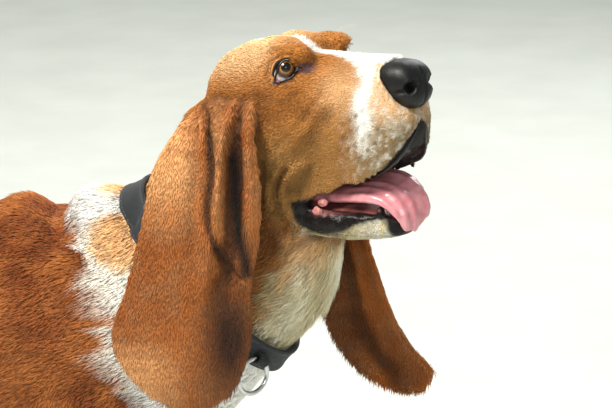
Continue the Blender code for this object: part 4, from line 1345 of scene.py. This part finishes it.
def eyeMaterial():
    # wet eye: brown iris with radial fibres, black pupil, dark edge, off-white beyond, under a clear film
    material, tree, shader = newMaterial("wet eye", {
        "Roughness": 0.7, "Specular IOR Level": 0.0, "Coat Weight": 1.0, "Coat Roughness": 0.02})
    around = addNode(tree, "ShaderNodeUVMap", uv_map="UVMap").outputs["UV"]
    parts = addNode(tree, "ShaderNodeSeparateXYZ", {"Vector": around})
    bands = ramp(tree, parts.outputs["Y"],
                 [(0.0, "F0EAF0"), (0.66, "E4DCE2"), (0.70, "A89A98"), (0.742, "2E221E"), (0.768, "0A0604"),
                  (0.785, "1E1007"), (0.83, "5E3A16"), (0.868, "A06C2C"), (0.890, "4A2C10"), (0.898, "050404"),
                  (1.0, "030303")])
    drawn = addNode(tree, "ShaderNodeMapping", {"Vector": around, "Scale": (60.0, 9.0, 1.0)}).outputs["Vector"]
    fibres = addNode(tree, "ShaderNodeTexNoise", {"Vector": drawn, "Scale": 1.0, "Detail": 4.0}).outputs["Fac"]
    tone = multiply(tree, bands, remap(tree, fibres, 0.55, 1.45, 0.3, 0.7))
    tree.links.new(tone, shader.inputs["Base Color"])
    return material


def makeEyes():
    material = eyeMaterial()
    for sideName in bothSides:
        gaze = Vector(headAxes @ unit(np.array(irisPlan["gaze"][sideName])))
        bpy.ops.mesh.primitive_uv_sphere_add(segments=irisPlan["segments"], ring_count=irisPlan["rings"],
                                             radius=headPlan["eyeRadius"],
                                             location=tuple(eyeCentres[sideName]),
                                             rotation=gaze.to_track_quat("Z", "Y").to_euler())
        eye = bpy.context.object
        eye.name = "eyeball_" + sideName
        bpy.ops.object.transform_apply(location=True, rotation=True, scale=True)
        points = pointsOf(eye)
        offset = points - eyeCentres[sideName]
        angle = np.degrees(np.arccos(np.clip(unit(offset) @ np.array(gaze), -1, 1)))
        bulge = irisPlan["cornea"] * (1.0 - ease(angle, 0.0, irisPlan["corneaAngle"]))
        setPoints(eye, points + unit(offset) * bulge[:, None])
        dress(eye, material)
        finishPiece(eye, "eye", "eye_" + sideName)


makeEyes()


def tube(points, radii, sides=10, closed=False):
    # vertices and faces of a round tube along a line of points, with closed ends
    points, radii = np.asarray(points), np.broadcast_to(radii, len(points))
    ahead = np.roll(points, -1, axis=0) if closed else np.vstack([points[1:], 2 * points[-1] - points[-2]])
    behind = np.roll(points, 1, axis=0) if closed else np.vstack([2 * points[0] - points[1], points[:-1]])
    tangent = unit(ahead - behind)
    side = np.cross(tangent[0], (0.0, 0.0, 1.0) if abs(tangent[0][2]) < 0.9 else (1.0, 0.0, 0.0))
    rings = []
    for point, radius, along in zip(points, radii, tangent):
        side = unit(side - along * (side @ along))
        other = np.cross(along, side)
        turns = np.arange(sides) / sides * 2 * math.pi
        rings.append(point + radius * (np.cos(turns)[:, None] * side + np.sin(turns)[:, None] * other))
    count = len(points)
    vertices = np.concatenate(rings)
    faces = []
    for i in range(count if closed else count - 1):
        j = (i + 1) % count
        for k in range(sides):
            n = (k + 1) % sides
            faces.append((i * sides + k, i * sides + n, j * sides + n))
            faces.append((i * sides + k, j * sides + n, j * sides + k))
    if not closed:
        vertices = np.vstack([vertices, points[0], points[-1]])
        for k in range(sides):
            n = (k + 1) % sides
            faces.append((count * sides, n, k))
            faces.append((count * sides + 1, (count - 1) * sides + k, (count - 1) * sides + n))
    return vertices, np.array(faces)

def wetSkinMaterial(name, dark, light, size, rough=0.25):
    # bare moist skin: mottled, finely wrinkled, with a wet film
    material, tree, shader = newMaterial(name, {
        "Roughness": rough, "Coat Weight": 0.45, "Coat Roughness": 0.12, "Specular IOR Level": 0.3})
    mottle(tree, shader, objectNoise(tree, 1 / size, 5.0), (0.35, dark), (0.65, light))
    addBump(tree, shader, objectNoise(tree, 1300.0, 3.0), 0.5, 0.0005)
    return material


def makeLidRims():
    # the dark bare edge of each lid, laid on the skin round the opening
    material = wetSkinMaterial("moist lid edge", "060404", "18100E", 0.004)
    search = searchTree(skinPoints, skinFaces)
    parts = []
    for sideName in bothSides:
        centre, outward, toNose, upward = eyeFrame(sideName)
        line = []
        for across, high in eyeOutline(10):
            grown = centre + (toNose * across + upward * high) * eyePlan["rimGrow"]
            met = search.ray_cast(Vector(grown + outward * 0.03), Vector(-outward), 0.06)
            depth = (np.array(met[0]) - grown) @ outward if met[0] is not None else 0.005
            ball = (headPlan["eyeRadius"] + eyePlan["filmGap"]) ** 2 - across ** 2 - high ** 2
            ball = math.sqrt(max(ball, 0.0))
            line.append(grown + outward * max(depth, ball))
        line = np.array(line)
        for _ in range(3):
            line = 0.5 * line + 0.25 * (np.roll(line, 1, axis=0) + np.roll(line, -1, axis=0))
        parts.append(tube(line, eyePlan["rim"], 10, closed=True))
    points, faces = joinParts(parts)
    rims = meshObject("lid_rims", points, faces, material)
    finishPiece(rims, "nose_leather")


makeLidRims()
print("stage: eyes and lids")


# Nose leather: its full form first, then the nostrils pressed into it
def noseMaterial():
    # moist nose leather: near black, finely pebbled in cells about 1 mm across, with a soft shine
    material, tree, shader = newMaterial("moist nose leather", {
        "Roughness": 0.40, "Coat Weight": 0.10, "Specular IOR Level": 0.3, "Coat Roughness": 0.25})
    tree.links.new(remap(tree, attribute(tree, "nostril"), 0.40, 1.0), shader.inputs["Roughness"])
    mottle(tree, shader, objectNoise(tree, 160.0, 3.0), (0.3, "040405"), (0.7, "0C0C0E"))
    cells = addNode(tree, "ShaderNodeTexVoronoi", {"Vector": objectPlace(tree), "Scale": 800.0},
                    feature="DISTANCE_TO_EDGE")
    addBump(tree, shader, cells.outputs["Distance"], 0.55, 0.0005)
    return material


nosePlan = {
    # the line of a nostril, on the head's axes
    "nostril": ((0.1130, 0.0098, -0.0268), (0.1095, 0.0138, -0.0295), (0.1040, 0.0180, -0.0320),
                (0.0985, 0.0207, -0.0325)),
    "width": 0.0036,
    "depth": 0.0050,
    "hole": 0.0095,
    "holeRadius": 0.0048,
    "holeEdge": 0.0013,
    "groove": 0.0016,
    "voxel": 0.0008,
    "rounds": 30,
}


def makeNose():
    nose = solidCopy("nose", ["nose_leather"])
    clay = bmesh.new()
    clay.from_mesh(nose.data)
    made = bmesh.ops.convex_hull(clay, input=clay.verts)
    bmesh.ops.delete(clay, geom=list({*made["geom_interior"], *made["geom_unused"], *made["geom_holes"]}),
                     context="VERTS")
    bmesh.ops.recalc_face_normals(clay, faces=clay.faces)
    clay.to_mesh(nose.data)
    clay.free()
    points, links = remeshed(nose, nosePlan["voxel"])
    faces = trianglesOf(nose)
    # smoothed, then grown again by what that took away
    smooth = averaged(points, links, nosePlan["rounds"])
    sunk = ((smooth - points) * normalsOf(smooth, faces)).sum(axis=1)
    lost = np.median(sunk[np.abs(sunk) < 0.002])
    points = smooth - normalsOf(smooth, faces) * lost
    place = toHead(points)
    normals = normalsOf(points, faces)
    groove = hill(place[:, 1], 0.0011) * ease(-place[:, 2], 0.012, 0.022) * ease(place[:, 0], 0.094, 0.102)
    press = nosePlan["groove"] * groove
    dark = np.zeros(len(points))
    # each nostril opens in front and curls back along the side
    for side in bothSides.values():
        line = np.array(nosePlan["nostril"]) * np.array([1.0, side, 1.0])
        reach, share = lineDistance(place, line)
        dark = np.maximum(dark, hill(reach, nosePlan["width"]) * (1.0 - 0.5 * share))
        width = nosePlan["width"] * (1.0 - 0.45 * share)
        press += nosePlan["depth"] * (1.0 - 0.60 * share) * hill(reach, width)
        reach = np.linalg.norm(place - line[1], axis=1)
        radius, edge = nosePlan["holeRadius"], nosePlan["holeEdge"]
        hole = 1.0 - ease(reach, radius - edge, radius + edge)
        dark = np.maximum(dark, hole)
        press += nosePlan["hole"] * hole
    setPoints(nose, relax(points - normals * press[:, None], links, 3))
    setField(nose, "nostril", np.clip(dark, 0, 1))
    dress(nose, noseMaterial())
    finishPiece(nose, "nose_leather", "nose_leather")


makeNose()


def tongueMaterial():
    # wet tongue: pink, mottled paler, covered in fine papillae
    material, tree, shader = newMaterial("wet tongue", {
        "Roughness": 0.32, "Coat Weight": 0.8, "Coat Roughness": 0.14, "Subsurface Weight": 0.15,
        "Subsurface Radius": (0.004, 0.0015, 0.001)})
    mottle(tree, shader, objectNoise(tree, 90.0, 4.0), (0.3, "C26C76"), (0.7, "E29CA4"))
    dots = addNode(tree, "ShaderNodeTexVoronoi", {"Vector": objectPlace(tree), "Scale": 1100.0})
    addBump(tree, shader, dots.outputs["Distance"], 0.35, 0.0004)
    return material


tonguePlan = {
    "voxel": 0.0012,
    "rounds": 12,
    "ridge": 0.0006,
    "ridgeApart": 0.0042,
    "furrow": 0.0018,
    "furrowWidth": 0.0030,
}


def makeTongue():
    tongue = solidCopy("tongue_wet", ["tongue"])
    points, links = remeshed(tongue, tonguePlan["voxel"])
    points = relax(points, links, tonguePlan["rounds"])
    place = toHead(points)
    normals = normalsOf(points, trianglesOf(tongue))
    middle = place[:, 1]
    ridges = tonguePlan["ridge"] * np.cos(middle / tonguePlan["ridgeApart"] * math.pi)
    ridges -= tonguePlan["furrow"] * hill(middle, tonguePlan["furrowWidth"])
    points = points + normals * (ridges * ease(place[:, 0], 0.02, 0.05))[:, None]
    setPoints(tongue, points)
    dress(tongue, tongueMaterial())
    finishPiece(tongue, "tongue", "tongue")


makeTongue()
print("stage: nose and tongue")


# Claws, rounded from their solids
def clawMaterial():
    # claw horn: dark brown to pale, streaked lengthwise, worn satin
    material, tree, shader = newMaterial("worn claw horn", {"Roughness": 0.38})
    streaks = objectNoise(tree, 700.0, 4.0, (0.3, 1.0, 1.0))
    mottle(tree, shader, streaks, (0.3, "3A2A20"), (0.7, "9A846A"))
    addBump(tree, shader, streaks, 0.3, 0.0003)
    return material


def makeClaws():
    names = sorted(name for name in nodes if name.startswith("claw_"))
    claws = solidCopy("claws", names)
    addModifier(claws, "SUBSURF", levels=2, render_levels=2)
    settle(claws)
    dress(claws, clawMaterial())
    finishPiece(claws, "claw_horn", *names)


makeClaws()


# Steel ring, in its solid's place
def steelMaterial():
    # polished welded steel wire: mirror bright, with hairline scratches
    material, tree, shader = newMaterial("polished steel wire", {"Metallic": 1.0})
    marks = objectNoise(tree, 1500.0, 4.0)
    mottle(tree, shader, marks, (0.3, "B9BBBD"), (0.7, "DADBDC"))
    tree.links.new(remap(tree, marks, 0.12, 0.30), shader.inputs["Roughness"])
    return material


def makeRing():
    axis = thinAxis(pointsOf(nodes["collar_ring"]))
    low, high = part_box("collar_ring")
    centre = (low + high) / 2
    offset = pointsOf(nodes["collar_ring"]) - np.array(centre)
    flat = np.linalg.norm(offset - np.outer(offset @ axis, axis), axis=1)
    bpy.ops.mesh.primitive_torus_add(location=centre, rotation=Vector(axis).to_track_quat("Z", "Y").to_euler(),
                                     major_radius=(flat.max() + flat.min()) / 2,
                                     minor_radius=(flat.max() - flat.min()) / 2,
                                     major_segments=96, minor_segments=20)
    ring = bpy.context.object
    ring.name = "steel_ring"
    bpy.ops.object.transform_apply(location=True, rotation=True, scale=True)
    dress(ring, steelMaterial())
    finishPiece(ring, "steel", "collar_ring")


makeRing()


# Collar: a woven band with a stitched edge, and the small loop that carries the ring
collarPlan = {
    "columnsBetween": 8,
    "stitch": 0.0034,
    "stitchGap": 0.0014,
    "threadRadius": 0.00035,
    "threadEnd": 0.00018,
    "threadRise": 0.0003,
    "threadSink": 0.0001,   # the ends of a stitch go into the band
    "stitchInset": 0.11,
    "faceColumns": 15,
    "edgeSwell": 0.06,      # thicker woven edges, as a share of the band's thickness
    "width": 0.026,
    "loopVoxel": 0.0005,
}


def webbingMaterial(name, scale, hexDark, hexLight):
    # nylon webbing: dark ribs about a millimetre wide, slightly shiny, dusty in the gaps
    material, tree, shader = newMaterial(name, {
        "Roughness": 0.62, "Sheen Weight": 0.12, "Sheen Roughness": 0.4, "Specular IOR Level": 0.25})
    mapping = addNode(tree, "ShaderNodeUVMap", uv_map="weave")
    turned = addNode(tree, "ShaderNodeMapping", {"Vector": mapping.outputs["UV"], "Scale": (scale, scale, 1.0),
                                                 "Rotation": (0.0, 0.0, math.radians(38.0))})
    ribs = addNode(tree, "ShaderNodeTexWave", {"Vector": turned.outputs["Vector"], "Scale": 1.0,
                                               "Distortion": 0.6, "Detail": 2.0}, bands_direction="X")
    both = addNode(tree, "ShaderNodeMath", operation="MULTIPLY_ADD")
    both.inputs[1].default_value = 0.35
    tree.links.new(objectNoise(tree, 900.0, 3.0), both.inputs[0])
    tree.links.new(ribs.outputs["Fac"], both.inputs[2])
    mottle(tree, shader, both.outputs["Value"], (0.15, hexDark), (1.0, hexLight))
    addBump(tree, shader, both.outputs["Value"], 0.7, 0.0006)
    return material


def collarCorners():
    # the solid band's four edges round the neck: inner and outer, at its back and at its front
    form = solidCopy("collarForm", ["collar"])
    points = pointsOf(form)
    bpy.data.objects.remove(form)
    middle = (points.min(axis=0) + points.max(axis=0)) / 2
    first = unit(np.cross(collarAxis, (0.0, 0.0, 1.0)))
    second = np.cross(collarAxis, first)
    offset = points - middle
    order = np.argsort(np.arctan2(offset @ second, offset @ first), kind="stable")
    columns = []
    for four in points[order].reshape(-1, 4, 3):
        four = four[np.argsort((four - middle) @ collarAxis)]
        for pair in (slice(0, 2), slice(2, 4)):
            out = four[pair] - middle
            out = np.linalg.norm(out - np.outer(out @ collarAxis, collarAxis), axis=1)
            four[pair] = four[pair][np.argsort(out)]
        columns.append(four)
    return np.array(columns)


def makeCollar():
    columns = collarCorners()
    steps = collarPlan["columnsBetween"]
    backIn, backOut, frontIn, frontOut = (roundLoop(columns[:, k], steps) for k in range(4))
    # the band's section: how far across its width, and how far out from its inner face
    faceAcross = np.linspace(0.035, 0.965, collarPlan["faceColumns"])
    swell = collarPlan["edgeSwell"] * (np.abs(faceAcross - 0.5) > 0.36)
    profile = [(across, 1.0 - collarPlan["edgeSwell"] + more) for across, more in zip(faceAcross, swell)]
    profile += [(1.0, 0.74), (1.0, 0.26)]
    profile += [(across, 0.0) for across in faceAcross[::-1]]
    profile += [(0.0, 0.26), (0.0, 0.74)]
    rows = []
    for across, out in profile:
        inner = backIn + (frontIn - backIn) * across
        outer = backOut + (frontOut - backOut) * across
        rows.append(inner + (outer - inner) * out)
    rows = np.array(rows)
    around, count = rows.shape[1], rows.shape[0]
    index = np.arange(count * around).reshape(count, around)
    nextRow, nextColumn = np.roll(index, -1, axis=0), np.roll(index, -1, axis=1)
    corner = np.roll(nextRow, -1, axis=1)
    faces = np.stack([index, nextColumn, corner, nextRow], axis=-1).reshape(-1, 4)
    band = meshObject("collar_band", rows.reshape(-1, 3), faces,
                      webbingMaterial("woven nylon webbing", 1500.0, "08090A", "3E444B"))
    length = np.broadcast_to(walkedLength(backOut), (count, around))
    breadth = np.broadcast_to(np.array([p[0] for p in profile])[:, None] * collarPlan["width"], (count, around))
    setUv(band, "weave", np.stack([length, breadth], axis=-1).reshape(-1, 2)[faces.ravel()])
    turnOutward(band.data)
    finishPiece(band, "webbing", "collar")
    makeStitches(backIn, backOut, frontIn, frontOut)


def makeStitches(backIn, backOut, frontIn, frontOut):
    # thread: short raised stitches in a row along each edge
    sink, end = collarPlan["threadSink"], collarPlan["threadEnd"]
    rise = np.array([-sink, collarPlan["threadRise"], -sink])
    radii = [end, collarPlan["threadRadius"], end]
    parts = []
    for across in (collarPlan["stitchInset"], 1.0 - collarPlan["stitchInset"]):
        line = backOut + (frontOut - backOut) * across
        inner = backIn + (frontIn - backIn) * across
        out = unit(line - inner)
        line = np.vstack([line, line[:1]])
        out = np.vstack([out, out[:1]])
        walked = walkedLength(line)
        start = 0.0
        while start + collarPlan["stitch"] < walked[-1]:
            marks = start + collarPlan["stitch"] * np.array([0.0, 0.5, 1.0])
            points = np.stack([np.interp(marks, walked, line[:, k]) for k in range(3)], axis=1)
            away = np.stack([np.interp(marks, walked, out[:, k]) for k in range(3)], axis=1)
            points = points + away * rise[:, None]
            parts.append(tube(points, radii, 5))
            start += collarPlan["stitch"] + collarPlan["stitchGap"]
    points, faces = joinParts(parts)
    thread = meshObject("collar_stitches", points, faces, threadMaterial())
    finishPiece(thread, "webbing")


def threadMaterial():
    # polyester thread: dark grey, twisted, with a faint shine
    material, tree, shader = newMaterial("twisted thread", {"Roughness": 0.5})
    twist = objectNoise(tree, 2500.0, 2.0)
    mottle(tree, shader, twist, (0.3, "2C2F33"), (0.7, "70757B"))
    addBump(tree, shader, twist, 0.4, 0.0002)
    return material


def makeLoop():
    # the loop of webbing that holds the ring
    loop = solidCopy("ring_loop", ["ring_keeper"])
    points, links = remeshed(loop, collarPlan["loopVoxel"])
    setPoints(loop, relax(points, links, 6))
    corners = np.empty(len(loop.data.loops), dtype=np.int32)
    loop.data.loops.foreach_get("vertex_index", corners)
    setUv(loop, "weave", pointsOf(loop)[:, [0, 2]][corners])
    dress(loop, webbingMaterial("folded nylon webbing", 2600.0, "0A0B0C", "2C3035"))
    finishPiece(loop, "webbing", "ring_keeper")


makeCollar()
makeLoop()
print("stage: collar, stitches and loop")


# Teeth, the buds in the corner of the mouth and whiskers
mouthPlan = {
    "canine": (0.0610, 0.0160, -0.1400),     # forward, aside and up of the root
    "canineRise": 0.0125,
    "canineRadius": 0.0030,
    "canineBow": 0.0016,
    # forward, aside and up of each root, radius and height
    "cheekTeeth": ((0.040, 0.0205, -0.1370, 0.0026, 0.0050), (0.031, 0.0222, -0.1355, 0.0030, 0.0056)),
    "buds": ((0.0010, 0.0322, -0.1262, 0.0042), (0.0060, 0.0285, -0.1195, 0.0044)),
    "budShape": (1.25, 0.60, 0.85),
    "budLumps": (0.30, 0.0028),     # how strong, and how far apart
}


def toothMaterial():
    # tooth enamel: ivory mottled with yellow, wet and smooth
    material, tree, shader = newMaterial("tooth enamel", {
        "Roughness": 0.22, "Coat Weight": 0.5, "Coat Roughness": 0.1})
    stain = objectNoise(tree, 260.0, 3.0)
    mottle(tree, shader, stain, (0.3, "CFC08E"), (0.7, "EFE7CC"))
    addBump(tree, shader, stain, 0.2, 0.0003)
    return material


lipPlan = {
    # lower edge of each upper lip from the front to the corner: forward, aside, up, thickness
    "edge": ((0.1040, 0.0030, -0.0640, 0.0016), (0.1015, 0.0085, -0.0705, 0.0020),
             (0.0965, 0.0125, -0.0790, 0.0029), (0.0900, 0.0180, -0.0880, 0.0033),
             (0.0800, 0.0230, -0.0958, 0.0032), (0.0680, 0.0225, -0.1000, 0.0022),
             (0.0540, 0.0185, -0.1040, 0.0016)),
    "arch": 0.0120,
    "inset": 0.0012,
    "columns": 25,
    "voxel": 0.0009,
    "crinkle": 0.0003,
}


def makeLipLining():
    # dark moist lining from one upper lip's edge over the palate to the other's
    edge = np.array(curved(lipPlan["edge"], 6))
    across = np.linspace(-1.0, 1.0, lipPlan["columns"])
    rows = []
    for f, l, u, thick in edge:
        l = l - lipPlan["inset"]
        rise = lipPlan["arch"] * min(1.0, l / 0.016) * (1.0 - np.abs(across) ** 2.6)
        under = np.stack([f - 0.25 * rise, across * l, u + rise], axis=1)
        swell = thick * (0.55 + 0.45 * np.abs(across) ** 6)
        over = under + np.array([0.0, 0.0, 1.0]) * (swell * 1.6)[:, None]
        ends = np.array([[f, l + thick * 0.8, u + thick * 0.5], [f, -l - thick * 0.8, u + thick * 0.5]])
        rows.append(np.vstack([under, ends[:1], over[::-1], ends[1:]]))
    rows = np.array(rows)
    count, size = rows.shape[:2]
    index = np.arange(count * size).reshape(count, size)
    nextOne = np.roll(index, -1, axis=1)
    quads = np.stack([index[:-1], index[1:], nextOne[1:], nextOne[:-1]], axis=-1).reshape(-1, 4)
    faces = [*quads, index[0][::-1], index[-1]]
    shape = bpy.data.meshes.new("lip_lining")
    corners = [tuple(int(i) for i in face) for face in faces]
    shape.from_pydata(fromHead(rows.reshape(-1, 3)).tolist(), [], corners)
    lining = linkObject("lip_lining", shape)
    turnOutward(shape)
    points, links = remeshed(lining, lipPlan["voxel"])
    points = relax(points, links, 8)
    normals = unit(normalsOf(points, trianglesOf(lining)))
    setPoints(lining, points + lipPlan["crinkle"] * normals * cloud(points, 0.003, 41)[:, None])
    dress(lining, wetSkinMaterial("black lip skin", "0A0707", "1C1513", 0.005, 0.4))
    finishPiece(lining, "nose_leather")


def makeTeeth():
    parts = []
    share = np.linspace(0.0, 1.0, 9)
    for side in bothSides.values():
        f, l, u = mouthPlan["canine"]
        rise = mouthPlan["canineRise"] * share
        bow = mouthPlan["canineBow"] * np.sin(share * math.pi / 2)
        line = np.stack([f + 0.20 * rise - bow, side * (l + 0.10 * rise), u + rise], axis=1)
        radii = mouthPlan["canineRadius"] * np.sqrt(np.maximum(1.0 - share ** 1.7, 0.002))
        parts.append(tube(fromHead(line), radii, 14))
        for f, l, u, radius, height in mouthPlan["cheekTeeth"]:
            up = u - 0.003 + (height + 0.003) * share
            line = np.stack([f + 0 * share, side * (l + 0 * share), up], axis=1)
            parts.append(tube(fromHead(line), radius * np.sqrt(np.maximum(1.0 - share ** 3.0, 0.004)), 12))
    points, faces = joinParts(parts)
    finishPiece(meshObject("teeth", points, faces, toothMaterial()), "claw_horn")


def makeBuds():
    # soft pink buds of skin inside the lip
    material = wetSkinMaterial("moist pink gum", "A8605C", "DB9A94", 0.003)
    parts = []
    for side in bothSides.values():
        for f, l, u, radius in mouthPlan["buds"]:
            clay = bmesh.new()
            bmesh.ops.create_icosphere(clay, subdivisions=4, radius=1.0)
            points = np.array([v.co for v in clay.verts])
            faces = np.array([[v.index for v in face.verts] for face in clay.faces])
            clay.free()
            strength, apart = mouthPlan["budLumps"]
            lumps = 1.0 + strength * cloud(points * radius + f, apart, 31)
            shaped = points * radius * np.array(mouthPlan["budShape"]) * lumps[:, None]
            place = np.array([f, side * l, u]) + shaped
            parts.append((fromHead(place), faces))
    points, faces = joinParts(parts)
    finishPiece(meshObject("mouth_buds", points, faces, material), "tongue")


def whiskerMaterial():
    # stiff pale hair, a little clouded
    material, tree, shader = newMaterial("whisker horn", {"Roughness": 0.4})
    mottle(tree, shader, objectNoise(tree, 300.0), (0.35, "CFC6B4"), (0.65, "F6F2E8"))
    return material


def whisker(start, inward, reach, droop):
    # a tapering hair from just inside the skin, reaching out and drooping
    share = np.linspace(0.0, 1.0, 12)
    line = np.array(start) + inward * 0.0008 + np.outer(share, reach) + np.outer(share ** 2, droop)
    return tube(line, whiskerPlan["radius"] * (1.05 - share), 5)


def makeWhiskers():
    # on each side of the muzzle, and a few over the eyes
    search = searchTree(skinPoints, skinFaces)
    forward, leftward, upward = headAxes.T
    parts = []
    for side in bothSides.values():
        outward = leftward * side
        for f, u in whiskerPlan["roots"][1::2]:
            met = search.ray_cast(Vector(fromHead([f, side * 0.08, u])), Vector(-outward), 0.08)
            length = chance.uniform(*whiskerPlan["length"])
            if met[0] is None:
                continue
            lean = unit(forward * 1.1 + outward * 0.42 - upward * chance.uniform(-0.1, 0.3))
            droop = (forward * 0.1 - np.array([0.0, 0.0, 0.22])) * length
            parts.append(whisker(met[0], -outward, lean * length, droop))
        for f, l, u in whiskerPlan["browRoots"]:
            met = search.ray_cast(Vector(fromHead([f, side * l, u + 0.03])), Vector(-upward), 0.08)
            if met[0] is None:
                continue
            lean = unit(forward * 0.9 + outward * 0.4 + upward * 0.7)
            droop = (forward * 0.3 - upward * 0.3) * whiskerPlan["browLength"]
            parts.append(whisker(met[0], -upward, lean * whiskerPlan["browLength"], droop))
    points, faces = joinParts(parts)
    finishPiece(meshObject("whiskers", points, faces, whiskerMaterial()), "white_coat")


makeLipLining()
makeTeeth()
makeBuds()
makeWhiskers()
print("stage: teeth, buds and whiskers")
